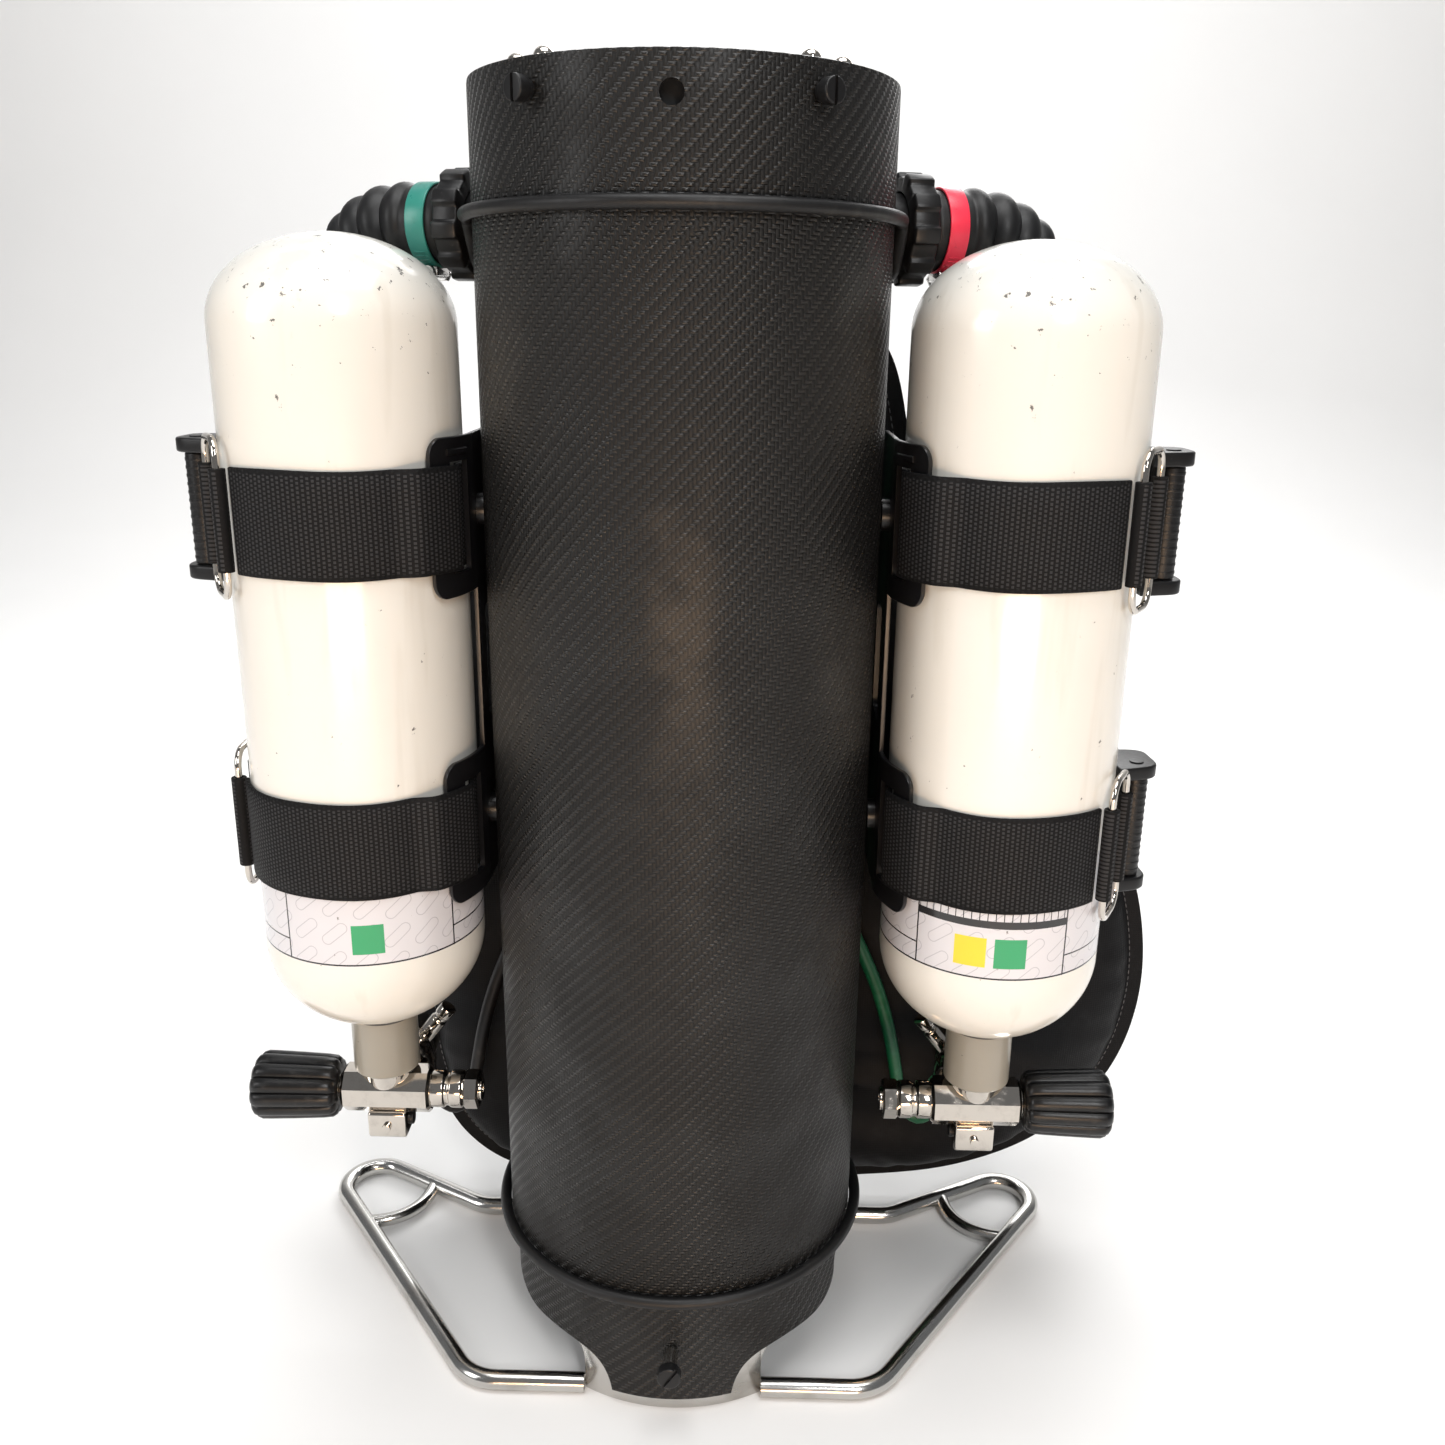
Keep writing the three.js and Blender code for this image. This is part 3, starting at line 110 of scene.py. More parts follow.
def loft(rings, loop=False):
    """A closed skin through rings with the same number of points; the ends are filled."""
    count, spans = len(rings[0]), len(rings) if loop else len(rings) - 1
    faces = []
    for i in range(spans):
        near, far = i * count, (i + 1) % len(rings) * count
        for j in range(count):
            after = (j + 1) % count
            faces.append((near + j, near + after, far + after, far + j))
    if not loop:
        last = (len(rings) - 1) * count
        faces.append(tuple(range(count))[::-1])
        faces.append(tuple(range(last, last + count)))
    return Form(np.vstack([np.array(ring, float) for ring in rings]), faces)


def turned(profile, steps=64, loop=False):
    """A body turned round +Z. Its profile of (radius, height) starts and ends on the axis, or is a
    closed loop away from it."""
    angles = [2 * math.pi * step / steps for step in range(steps)]
    return loft([[(r * math.cos(a), r * math.sin(a), z) for a in angles] for r, z in profile], loop)


def travelling(line):
    """Two directions across a line at each of its points, with no twist along it."""
    line = np.array(line, float)
    ahead = np.gradient(line, axis=0)
    ahead /= np.linalg.norm(ahead, axis=1)[:, None]
    side = np.cross(ahead[0], (0, 0, 1) if abs(ahead[0][2]) < 0.9 else (1, 0, 0))
    sides = []
    for direction in ahead:
        side = side - direction * (side @ direction)
        side = side / np.linalg.norm(side)
        sides.append(side)
    sides = np.array(sides)
    return line, sides, np.cross(ahead, sides)


def swept(line, radii, steps=24, loop=False):
    """A round rod along a line, of one radius or one for each point."""
    line, across, up = travelling(line)
    radii = np.broadcast_to(np.array(radii, float), len(line))
    angles = [2 * math.pi * step / steps for step in range(steps)]
    return loft([[centre + r * (math.cos(a) * s + math.sin(a) * u) for a in angles]
                 for centre, r, s, u in zip(line, radii, across, up)], loop)


def through(stations, spacing):
    """A smooth line through stations, with points an even spacing apart."""
    p = [np.array(s, float) for s in stations]
    p = [2 * p[0] - p[1], *p, 2 * p[-1] - p[-2]]
    fine = []
    for a, b, c, d in zip(p, p[1:], p[2:], p[3:]):
        knots = np.cumsum([0] + [max(math.sqrt(np.linalg.norm(n - m)), 1e-6)
                                 for m, n in ((a, b), (b, c), (c, d))])
        for t in np.linspace(knots[1], knots[2], 24, endpoint=False):
            ab = a + (b - a) * (t - knots[0]) / (knots[1] - knots[0])
            bc = b + (c - b) * (t - knots[1]) / (knots[2] - knots[1])
            cd = c + (d - c) * (t - knots[2]) / (knots[3] - knots[2])
            abc = ab + (bc - ab) * (t - knots[0]) / (knots[2] - knots[0])
            bcd = bc + (cd - bc) * (t - knots[1]) / (knots[3] - knots[1])
            fine.append(abc + (bcd - abc) * (t - knots[1]) / (knots[2] - knots[1]))
    fine = np.array(fine + [p[-2]])
    travel = np.concatenate([[0], np.cumsum(np.linalg.norm(np.diff(fine, axis=0), axis=1))])
    places = np.linspace(0, travel[-1], max(2, round(travel[-1] / spacing)) + 1)
    return np.array([[np.interp(s, travel, fine[:, k]) for k in range(3)] for s in places])


def piece(name, form, place, body="frame", crease=35):
    """A mesh object from a form, at a place in metres, riding on a body."""
    mesh = bpy.data.meshes.new(name)
    mesh.from_pydata((form.points * MM).tolist(), [], form.faces)
    work = bmesh.new()
    work.from_mesh(mesh)
    bmesh.ops.remove_doubles(work, verts=work.verts, dist=2e-6)
    bmesh.ops.recalc_face_normals(work, faces=work.faces)
    work.to_mesh(mesh)
    work.free()
    mesh.shade_smooth()
    mesh.set_sharp_from_angle(angle=math.radians(crease))
    made = bpy.data.objects.new(name, mesh)
    bpy.context.scene.collection.objects.link(made)
    made.location = place
    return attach(made, body)


class Tone:
    """A shader socket that can stand in an expression."""

    def __init__(self, tree, socket=None):
        self.tree, self.socket = tree, socket

    def node(self, kind, settings=None, inputs=None, output=0):
        """Any node: its settings first, then values or links for its input sockets."""
        made = self.tree.nodes.new(kind)
        for name, value in (settings or {}).items():
            if name == "stops":
                ramp = made.color_ramp.elements
                while len(ramp) < len(value):
                    ramp.new(0.5)
                for element, (position, colour) in zip(ramp, value):
                    element.position, element.color = position, colour
            else:
                setattr(made, name, value)
        for name, value in (inputs or {}).items():
            if isinstance(value, Tone):
                self.tree.links.new(value.socket, made.inputs[name])
            else:
                made.inputs[name].default_value = value
        return Tone(self.tree, made.outputs[output])

    def math(self, operation, *others):
        return self.node("ShaderNodeMath", {"operation": operation}, dict(enumerate((self, *others))))

    def __add__(self, other):
        return self.math("ADD", other)

    def __mul__(self, other):
        return self.math("MULTIPLY", other)

    def __sub__(self, other):
        return self.math("SUBTRACT", other)

    def __rsub__(self, other):
        return self.node("ShaderNodeMath", {"operation": "SUBTRACT"}, {0: other, 1: self})

    def __truediv__(self, other):
        return self.math("DIVIDE", other)

    def __mod__(self, other):
        return self.math("FLOORED_MODULO", other)

    def __lt__(self, other):
        return self.math("LESS_THAN", other)

    def __gt__(self, other):
        return self.math("GREATER_THAN", other)

    def __abs__(self):
        return self.math("ABSOLUTE")

    __radd__, __rmul__ = __add__, __mul__

    def between(self, low, high):
        """0 below low, 1 above high, and smooth between them."""
        return self.node("ShaderNodeMapRange", {"interpolation_type": "SMOOTHSTEP"},
                         {"Value": self, "From Min": low, "From Max": high})

    def mix(self, first, second):
        """One colour where this tone is 0 and the other where it is 1."""
        return self.node("ShaderNodeMix", {"data_type": "RGBA"}, {0: self, 6: first, 7: second}, 2)

    def noise(self, scale, detail=3.0, roughness=0.55, stretch=(1, 1, 1)):
        """Noise over the object's own coordinates, about one blotch to each 1/scale metres."""
        place = self.node("ShaderNodeTexCoord", output=3)
        sized = self.node("ShaderNodeVectorMath", {"operation": "MULTIPLY"}, {0: place, 1: stretch})
        return self.node("ShaderNodeTexNoise", {},
                         {"Vector": sized, "Scale": scale, "Detail": detail, "Roughness": roughness})

    def places(self):
        """The object's own x, y and z."""
        place = self.node("ShaderNodeTexCoord", output=3)
        return [self.node("ShaderNodeSeparateXYZ", {}, {0: place}, k) for k in range(3)]

    def bump(self, distance, strength=1.0, under=None):
        inputs = {"Height": self, "Distance": distance, "Strength": strength}
        if under is not None:
            inputs["Normal"] = under
        return self.node("ShaderNodeBump", {}, inputs)


def finish(name, make, **constants):
    """A material. Constants go on the shader's own sockets; make returns what varies over it."""
    material = bpy.data.materials.new(name)
    material.use_nodes = True
    shader = material.node_tree.nodes["Principled BSDF"]
    for socket, value in constants.items():
        shader.inputs[socket.replace("_", " ")].default_value = value
    for socket, value in make(Tone(material.node_tree)).items():
        if isinstance(value, Tone):
            material.node_tree.links.new(value.socket, shader.inputs[socket])
        else:
            shader.inputs[socket].default_value = value
    return material


def dress(made, material, slot, *stands_for):
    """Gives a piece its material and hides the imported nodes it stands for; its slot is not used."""
    made.data.materials.clear()
    made.data.materials.append(material)
    if stands_for:
        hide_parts(*stands_for)
    return made


def hose_rubber(tone):
    dust = tone.noise(90, 4).between(0.55, 0.8)
    return {
        "Base Color": dust.mix((0.006, 0.006, 0.0065, 1), (0.02, 0.0195, 0.019, 1)),
        "Roughness": tone.noise(300, 3) * 0.2 + 0.36,
        "Normal": tone.noise(1500, 2).bump(0.00006, 0.5),
    }


rubber = finish("hose_rubber", hose_rubber, Specular_IOR_Level=0.35)

PORT_AZIMUTH, PORT_HEIGHT, PORT_REACH = 106, 600, 121.0
CUFF_RADIUS, CUFF_LENGTH = 18.6, 18.0
RIB_TOP, RIB_VALLEY, RIB_PITCH = 20.4, 16.6, 11.4
HOSE_STEP = 0.95
port_turn = math.radians(PORT_AZIMUTH)
port_direction = np.array([math.sin(port_turn), -math.cos(port_turn), 0])
port_end = port_direction * PORT_REACH + (0, 0, PORT_HEIGHT)
hose_route = [
    port_end + port_direction * 0.3, port_end + port_direction * 9, port_end + port_direction * 18.3,
    (146, 42.4, 599.5), (157, 48, 596.5), (168, 57, 589.5), (177.5, 69, 577.5), (184, 83, 561),
    (187.5, 98, 540), (187, 113, 516), (182.5, 127, 491), (174, 138.5, 466.5), (162, 147.5, 443),
    (147, 153.5, 421.5), (129.5, 157, 403.5), (110.5, 158, 390), (90, 158, 379.3),
    (74, 158, 372.8), (58, 158, 366.3),
]
hose_line = through(hose_route, HOSE_STEP)
hose_travel = np.arange(len(hose_line)) * np.linalg.norm(hose_line[1] - hose_line[0])
hose_length = hose_travel[-1]
ribbed = np.clip((hose_travel - CUFF_LENGTH) / 3, 0, 1) * np.clip((hose_length - 12 - hose_travel) / 3, 0, 1)
ripple = np.abs(np.sin(math.pi * (hose_travel - CUFF_LENGTH) / RIB_PITCH)) ** 0.75
hose_radii = np.where(ribbed > 0, RIB_VALLEY + (RIB_TOP - RIB_VALLEY) * ripple, CUFF_RADIUS)
hose_radii = CUFF_RADIUS + (hose_radii - CUFF_RADIUS) * ribbed
hose_radii[:2] -= (0.8, 0.2)

SIDES = (("right", 1), ("left", -1))
hoses = {}
for side, hand in SIDES:
    hose = piece(f"corrugated_hose_{side}", swept(hose_line * (hand, 1, 1), hose_radii, 48), tube_axis,
                 crease=60)
    hoses[hand] = dress(hose, rubber, "rubber", f"breathing_hose_{side}")


# ---- mouthpiece ----
# A moulded plastic barrel whose side ports rise to meet the hoses, with a soft rubber bite at the
# end of its mouth tube. A ring with a paddle turns round the barrel to shut the loop.

def eased(points, radius, steps=4, loop=True):
    """Rounds the corners of an outline or a profile; radius is how far back each bend starts."""
    points = [np.array(p, float) for p in points]
    last, soft = len(points) - 1, []
    for i, corner in enumerate(points):
        if not loop and i in (0, last):
            soft.append(corner)
            continue
        before, after = points[i - 1], points[(i + 1) % len(points)]
        back, ahead = np.linalg.norm(before - corner), np.linalg.norm(after - corner)
        start = corner + (before - corner) * min(radius, back * 0.49) / back
        end = corner + (after - corner) * min(radius, ahead * 0.49) / ahead
        for t in np.linspace(0, 1, steps + 1):
            soft.append(start * (1 - t) ** 2 + 2 * corner * t * (1 - t) + end * t * t)
    return soft


def lathe(profile, edge, bends, steps=64):
    """A turned body with its profile's corners rounded."""
    return turned(eased(profile, edge, bends, loop=False), steps)


def round_bar(radius, bottom, top, edge, steps=64):
    return lathe([(0, bottom), (radius, bottom), (radius, top), (0, top)], edge, 4, steps)


def ring_body(inner, outer, bottom, top, edge, steps=64):
    profile = [(inner, bottom), (outer, bottom), (outer, top), (inner, top)]
    return turned(eased(profile, edge, 3), steps, loop=True)


def black_plastic(tone):
    scuffed = tone.noise(260, 5, 0.7).between(0.62, 0.74)
    return {
        "Base Color": scuffed.mix((0.006, 0.006, 0.0065, 1), (0.03, 0.03, 0.031, 1)),
        "Roughness": tone.noise(500, 2) * 0.16 + 0.3 + scuffed * 0.15,
        "Normal": tone.noise(2600, 2).bump(0.00005, 0.45),
    }


moulded = finish("moulded_plastic", black_plastic, Specular_IOR_Level=0.35)

BARREL_HALF, MOUTH_PORT_RISE = 45.0, 22.0
mouthpiece_place = tube_axis + Vector((0, 158, 352)) * MM

barrel = lathe([
    (0, -45), (20.5, -45), (21.5, -42), (21.5, -37), (23, -35.5), (23, -30), (22, -29), (22, 22),
    (23, 23), (23, 34.5), (22, 36), (22, 42), (20.5, 45), (0, 45),
], 0.9, 3, 72).turn(90, "Y")
for hand in (1, -1):
    port = lathe([(0, 0), (16, 0), (16, 20), (18.4, 21), (18.4, 24.5), (16.6, 25.5), (16.6, 30),
                  (17.4, 31), (16.4, 36.3), (0, 36.3)], 0.8, 3, 48)
    port = port.turn(90 - MOUTH_PORT_RISE, "Y").move(x=BARREL_HALF / 2)
    barrel += port.on(hand)
for x in (-12, -4, 4, 12):
    barrel += ring_body(21, 22.9, x - 1.2, x + 1.2, 0.5).turn(90, "Y")
barrel += lathe([(0, 0), (17.5, 0), (17.5, 26), (15.5, 28), (15, 36), (0, 36)], 1.5, 3, 48).turn(-90, "X")
mouth = piece("mouthpiece_barrel", barrel, mouthpiece_place)
dress(mouth, moulded, "black_plastic", "mouthpiece")


def full_turn(steps):
    """Angles an even step apart, all the way round."""
    return np.linspace(0, 2 * math.pi, steps, endpoint=False)


bite_rings = []
angles = full_turn(48)
for reach, wide, tall in ((33, 15.6, 15.6), (38, 15.8, 15.2), (42, 18, 12), (45, 23.6, 14.6), (46.5, 24, 15),
                          (48, 23.4, 14.4), (49.2, 17, 8.6), (53, 15, 7)):
    bite_rings.append([(wide * math.cos(a), reach - 0.0042 * (wide * math.cos(a)) ** 2, tall * math.sin(a))
                       for a in angles])
bite = piece("mouthpiece_bite", loft(bite_rings), mouthpiece_place)
dress(bite, rubber, "rubber")

paddle = eased([(-9, 25), (-6.5, 49), (6.5, 49), (9, 25)], 3, 4)


def inset(outline, distance):
    """The outline moved inwards by a distance, for an outline that runs counter-clockwise."""
    p = np.array(outline, float)
    ahead = np.roll(p, -1, axis=0) - p
    ahead /= np.maximum(np.linalg.norm(ahead, axis=1), 1e-9)[:, None]
    normal = np.stack([-ahead[:, 1], ahead[:, 0]], axis=1)
    both = normal + np.roll(normal, 1, axis=0)
    length = np.maximum((both ** 2).sum(axis=1), 1.0)
    return p + 2 * distance * both / length[:, None]


def counter_clockwise(outline):
    p = np.array(outline, float)
    area = np.sum(p[:, 0] * np.roll(p[:, 1], -1) - np.roll(p[:, 0], -1) * p[:, 1])
    return p if area > 0 else p[::-1]


def slab(outline, bottom, top, edge):
    """A plate of an outline, lying flat, with its two rims rounded over."""
    outline = counter_clockwise(outline)
    rings = []
    for step in range(4):
        bend = math.pi / 2 * step / 3
        rings.append((edge * (1 - math.sin(bend)), bottom + edge * (1 - math.cos(bend))))
    rings += [(back, top + bottom - z) for back, z in rings[::-1]]
    return loft([np.c_[inset(outline, back), np.full(len(outline), z)] for back, z in rings])


lever_form = ring_body(23.8, 27, 0, 9, 0.8, 72) + slab([(y, x) for x, y in paddle], 0.4, 8.6, 1.2)
shutoff = piece("mouthpiece_shutoff_ring", lever_form.turn(90, "Y").move(x=24), mouthpiece_place,
                "mouthpiece_lever")
dress(shutoff, moulded, "black_plastic", "mouthpiece_lever")

for hand, hose in hoses.items():
    route = [tube_axis + Vector(point) * MM for point in hose_line[::8] * (hand, 1, 1)]
    [mouth, bite, shutoff] if hand == 1 else []


# ---- housing tube ----
# A wet-laid tube of twill carbon cloth, left with the cloth's relief under thin clear resin. It is
# slotted at the top for the two hose ports and cut back at the foot to leave a tongue in front.

TUBE_RADIUS, TUBE_WALL = 98.0, 3.0
TUBE_FOOT, TUBE_TOP = 9.0, 657.0
TOW_WIDTH = 1.8
HEAD_SCREW_AZIMUTH, HEAD_SCREW_HEIGHT, FOOT_SCREW_HEIGHT = 36.8, 644, 40.5
SCREW_HOLE = 2.8


def settle(made, crease=35):
    """Applies an object's modifiers to its mesh."""
    bpy.context.view_layer.update()
    seen = made.evaluated_get(bpy.context.evaluated_depsgraph_get())
    mesh = bpy.data.meshes.new_from_object(seen)
    made.modifiers.clear()
    made.data = mesh
    mesh.shade_smooth()
    mesh.set_sharp_from_angle(angle=math.radians(crease))
    return made


def cut_away(made, *cutters):
    """Cuts forms, given in the piece's own place, out of a piece."""
    for form in cutters:
        tool = piece("cutter", form, made.matrix_world.translation)
        difference = made.modifiers.new("cut", "BOOLEAN")
        difference.object, difference.operation, difference.solver = tool, "DIFFERENCE", "EXACT"
        settle(made)
        bpy.data.objects.remove(tool)
    return made


def block(x, y, z, edge=0.0):
    """A block between two ends on each axis."""
    outline = [(x[0], y[0]), (x[1], y[0]), (x[1], y[1]), (x[0], y[1])]
    if edge:
        return slab(eased(outline, edge, 3), z[0], z[1], edge)
    return loft([[(*point, height) for point in outline] for height in z])


def drawn_upright(outline, near, far):
    """An outline drawn in x and z becomes a body from y = near to y = far."""
    return loft([[(x, y, z) for x, z in counter_clockwise(outline)] for y in (far, near)])


def foot_cut(tongue, edge, side, top, taper=0.0):
    """What is cut away beside a tongue, on the right. A taper narrows the tongue towards its foot."""
    beside = [(tongue, edge)]
    if taper:
        beside = [(tongue - taper, edge / 3), (tongue + 2, edge - taper), (tongue + 20, edge)]
    corners = [(tongue - taper, -edge), *beside, (side, edge), (side, top), (160, top), (160, -edge)]
    return eased(corners, 15, 8)


def outwards(form, azimuth, height):
    """Lays a form made along +Z so that it points straight out of the tube at an azimuth."""
    return form.turn(90, "X").turn(azimuth, "Z").move(z=height)


def at_port(form, hand=1):
    """Lays a form made along +Z on the axis of a head port."""
    return outwards(form, PORT_AZIMUTH, PORT_HEIGHT).on(hand)


def plain_bar(radius, bottom, top, steps=48):
    return turned([(0, bottom), (radius, bottom), (radius, top), (0, top)], steps)


def carbon_cloth(tone):
    x, y, z = tone.places()
    around = x.math("ARCTAN2", y * -1) * (TUBE_RADIUS / TOW_WIDTH)
    up = z * (1000 / TOW_WIDTH)
    column, row = around.math("FLOOR"), up.math("FLOOR")
    rising = (up - column + 1) % 4
    crossing = (around - row - 2) % 4
    warp_on_top = rising < 2
    long_way = warp_on_top * (rising - crossing) + crossing
    wide_way = (around - column) * warp_on_top + (up - row) * (1 - warp_on_top)
    swell = (long_way * (math.pi / 2)).math("SINE").math("MAXIMUM", 0.0).math("POWER", 0.6)
    crown = (wide_way * math.pi).math("SINE").math("MAXIMUM", 0.0).math("POWER", 0.6)
    tow = swell * crown
    resin = tone.noise(26, 4).between(0.4, 0.62)
    grime = tone.noise(900, 2).between(0.72, 0.8)
    # The weft tows are painted lighter than the warp tows: a painted glint standing in for the sheen of
    # their fibres. The same mask also raises the weft ridges in the bump.
    weft_ridge_and_glint = tow * (1 - warp_on_top * 0.72)
    shade = weft_ridge_and_glint.mix((0.002, 0.0019, 0.0018, 1), (0.016, 0.015, 0.014, 1))
    return {
        "Base Color": (grime * 0.4).mix(shade, (0.12, 0.115, 0.11, 1)),
        "Roughness": 0.43 + warp_on_top * 0.2 - tow * 0.13 - resin * 0.08,
        "Normal": (weft_ridge_and_glint * 0.9 + tow * 0.12 + tone.noise(900, 2) * 0.2).bump(0.0006, 0.9,
                                                             tone.noise(34, 2).bump(0.0012, 0.25)),
        "Coat Weight": resin * 0.1 + 0.03,
    }


carbon = finish("carbon_twill", carbon_cloth, Specular_IOR_Level=0.28, Coat_Roughness=0.25)

wall_heights = np.linspace(TUBE_FOOT + 2, TUBE_TOP - 2, 25)
wall_profile = eased([(TUBE_RADIUS - TUBE_WALL, TUBE_FOOT), (TUBE_RADIUS, TUBE_FOOT)], 0.01, 1, loop=False)
wall_profile += [(TUBE_RADIUS, z) for z in wall_heights]
wall_profile += [(TUBE_RADIUS - 0.3, TUBE_TOP - 0.3), (TUBE_RADIUS - 1.2, TUBE_TOP),
                 (TUBE_RADIUS - TUBE_WALL + 0.5, TUBE_TOP)]
wall_profile += [(TUBE_RADIUS - TUBE_WALL, z) for z in wall_heights[::-1]]
housing = piece("carbon_housing", turned(wall_profile, 240, loop=True), tube_axis)
port_slot = at_port(plain_bar(17.8, 70, 120))
port_slot_top = at_port(block((-17.8, 17.8), (0, 80), (70, 120)))
side_cut = drawn_upright(foot_cut(37, 34.5, 88, 69, 6), -110, 110)
GAS_ENTRY_DIRECTION, GAS_ENTRY_HEIGHT = np.array((0.8407, 0.5415, 0)), 536
hose_way = swept([GAS_ENTRY_DIRECTION * d + (0, 0, GAS_ENTRY_HEIGHT) for d in (70, 120)], 5.5)
front_holes = [outwards(plain_bar(5, 80, 120), 0, 641)]
for azimuth, height in ((0, FOOT_SCREW_HEIGHT), (-HEAD_SCREW_AZIMUTH, HEAD_SCREW_HEIGHT),
                        (HEAD_SCREW_AZIMUTH, HEAD_SCREW_HEIGHT)):
    front_holes.append(outwards(plain_bar(SCREW_HOLE, 80, 120), azimuth, height))
cut_away(housing, side_cut, side_cut.mirror(), port_slot, port_slot.mirror(), port_slot_top,
         port_slot_top.mirror(), hose_way, hose_way.mirror(), *front_holes)
softened = housing.modifiers.new("softened_edges", "BEVEL")
softened.width, softened.segments, softened.limit_method = 0.35 * MM, 2, "ANGLE"
softened.angle_limit = math.radians(50)
dress(housing, carbon, "carbon", "housing_tube")


# ---- foot frame ----
# A steel collar slips into the tube's foot and stands on a front and a rear leg. Two loops of bent
# polished rod are welded to its legs and lie on the floor, each with a thin rod across its corner.

def polished_steel(tone):
    streaks = tone.noise(40, 6, 0.6, stretch=(1, 1, 14))
    stains = tone.noise(30, 4).between(0.5, 0.75)
    return {
        "Base Color": stains.mix((0.56, 0.55, 0.53, 1), (0.40, 0.385, 0.36, 1)),
        "Roughness": streaks * 0.16 + 0.1 + stains * 0.1,
        "Normal": streaks.bump(0.00004, 0.5),
    }


stainless = finish("polished_stainless", polished_steel, Metallic=1.0)

COLLAR_RADIUS, COLLAR_WALL = 94.7, 2.2
FRONT_LEG_HALF, REAR_LEG_HALF = 47.5, 71.5
BAR_RADIUS, BRACE_RADIUS = 5.25, 4.0

collar_profile = eased([(COLLAR_RADIUS - COLLAR_WALL, 0), (COLLAR_RADIUS, 0), (COLLAR_RADIUS, 98),
                        (COLLAR_RADIUS - COLLAR_WALL, 98)], 0.5, 2)
collar = piece("foot_collar", turned(collar_profile, 180, loop=True), tube_axis)
front_cut = foot_cut(FRONT_LEG_HALF, 32.5, 86, 67)
rear_cut = [(REAR_LEG_HALF, -10), (REAR_LEG_HALF, 32.5), (86, 48.5), (86, 67), (150, 67), (150, -10)]
front_cut = drawn_upright(front_cut, -110, 1)
rear_cut = drawn_upright(rear_cut, 0, 110)
cut_away(collar, front_cut, front_cut.mirror(), rear_cut, rear_cut.mirror(),
         outwards(plain_bar(SCREW_HOLE, 70, 100), 0, FOOT_SCREW_HEIGHT))
dress(collar, stainless, "stainless", "stand_collar")


def bent(corners, radii, step=6.0):
    """Straight runs between corners, with a bend of the given radius at each inner corner."""
    corners = [np.array(c, float) for c in corners]
    line = [corners[0]]
    for before, corner, after, radius in zip(corners, corners[1:], corners[2:], radii):
        back, ahead = before - corner, after - corner
        back, ahead = back / np.linalg.norm(back), ahead / np.linalg.norm(ahead)
        half = math.acos(np.clip(back @ ahead, -1, 1)) / 2
        middle = (back + ahead) / np.linalg.norm(back + ahead)
        centre = corner + middle * radius / math.sin(half)
        start = corner + back * radius / math.tan(half) - centre
        end = corner + ahead * radius / math.tan(half) - centre
        turn = math.pi - 2 * half
        for share in np.linspace(0, 1, max(3, math.ceil(math.degrees(turn) / step))):
            line.append(centre + (start * math.sin(turn * (1 - share)) + end * math.sin(turn * share))
                        / math.sin(turn))
    return line + [corners[-1]]


def leg_depth(half):
    return math.sqrt((COLLAR_RADIUS - COLLAR_WALL / 2) ** 2 - half ** 2)


bar_front, bar_rear = -leg_depth(FRONT_LEG_HALF) - 3.3, leg_depth(REAR_LEG_HALF)
bar_corners = [(FRONT_LEG_HALF + 0.3, bar_front, BAR_RADIUS), (110, bar_front, BAR_RADIUS),
               (276, 141, BAR_RADIUS), (131, bar_rear, BAR_RADIUS),
               (REAR_LEG_HALF + 0.3, bar_rear, BAR_RADIUS)]
bar_line = bent(bar_corners, (28, 20, 22))
tip = np.array(bar_corners[2])
brace_ends = [tip + (np.array(bar_corners[k]) - tip) / np.linalg.norm(np.array(bar_corners[k]) - tip) * 123.4
              for k in (1, 3)]
brace_middle = (brace_ends[0] + brace_ends[1]) / 2
brace_middle += (brace_middle - tip) / np.linalg.norm(brace_middle - tip) * 24
brace_line = [brace_ends[0] * (1 - t) ** 2 + 2 * brace_middle * t * (1 - t) + brace_ends[1] * t * t
              for t in np.linspace(0.04, 0.96, 28)]


def weld_bead(place, direction, radius):
    """A ring of overlapping weld ripples round a rod's end."""
    steps = full_turn(90)
    across = np.cross(direction, (0, 0, 1))
    line = [place + radius * (np.cos(a) * across + np.sin(a) * np.array((0, 0, 1))) for a in steps]
    return swept(line, 1.3 + 0.35 * np.abs(np.sin(steps * 9)), 10, loop=True)


for side, hand in SIDES:
    bar = swept(bar_line, BAR_RADIUS - 0.02, 28)
    bar += weld_bead(np.array(bar_corners[0]) + (1.2, 0, 0), np.array((1.0, 0, 0)), BAR_RADIUS - 1.65)
    bar += weld_bead(np.array(bar_corners[4]) + (1.2, 0, 0), np.array((1.0, 0, 0)), BAR_RADIUS - 1.65)
    brace = swept(brace_line, BRACE_RADIUS, 20)
    dress(piece(f"floor_loop_{side}", bar.on(hand), tube_axis, crease=50),
          stainless, "stainless", f"stand_bar_{side}")
    dress(piece(f"loop_brace_{side}", brace.on(hand), tube_axis, crease=50),
          stainless, "stainless", f"stand_brace_{side}")


# ---- screws through the tube ----
# Slotted plastic thumb screws: two hold the breathing head at the top, and one with a steel spacer
# holds the tongue to the collar at the foot. Each is turned, with a slot for a coin.

def thumb_screw(name, radius, neck, seat, azimuth, height, node):
    head_start, head_end = seat + neck, seat + neck + 6
    form = lathe([(0, 80), (2.4, 80), (2.4, seat + 0.1), (radius - 1.3, seat + 0.1),
                  (radius - 1.3, head_start), (radius, head_start), (radius, head_end), (0, head_end)],
                 0.9, 4, 56)
    screw = piece(name, outwards(form, azimuth, height), tube_axis, crease=40)
    slot_form = block((-0.8, 0.8), (-radius - 1, radius + 1), (head_end - 1.5, head_end + 2))
    if node == "base_screw":
        slot_form = slot_form.turn(-35, "Z")
    cut_away(screw, outwards(slot_form, azimuth, height))
    return dress(screw, moulded, "black_plastic", node)


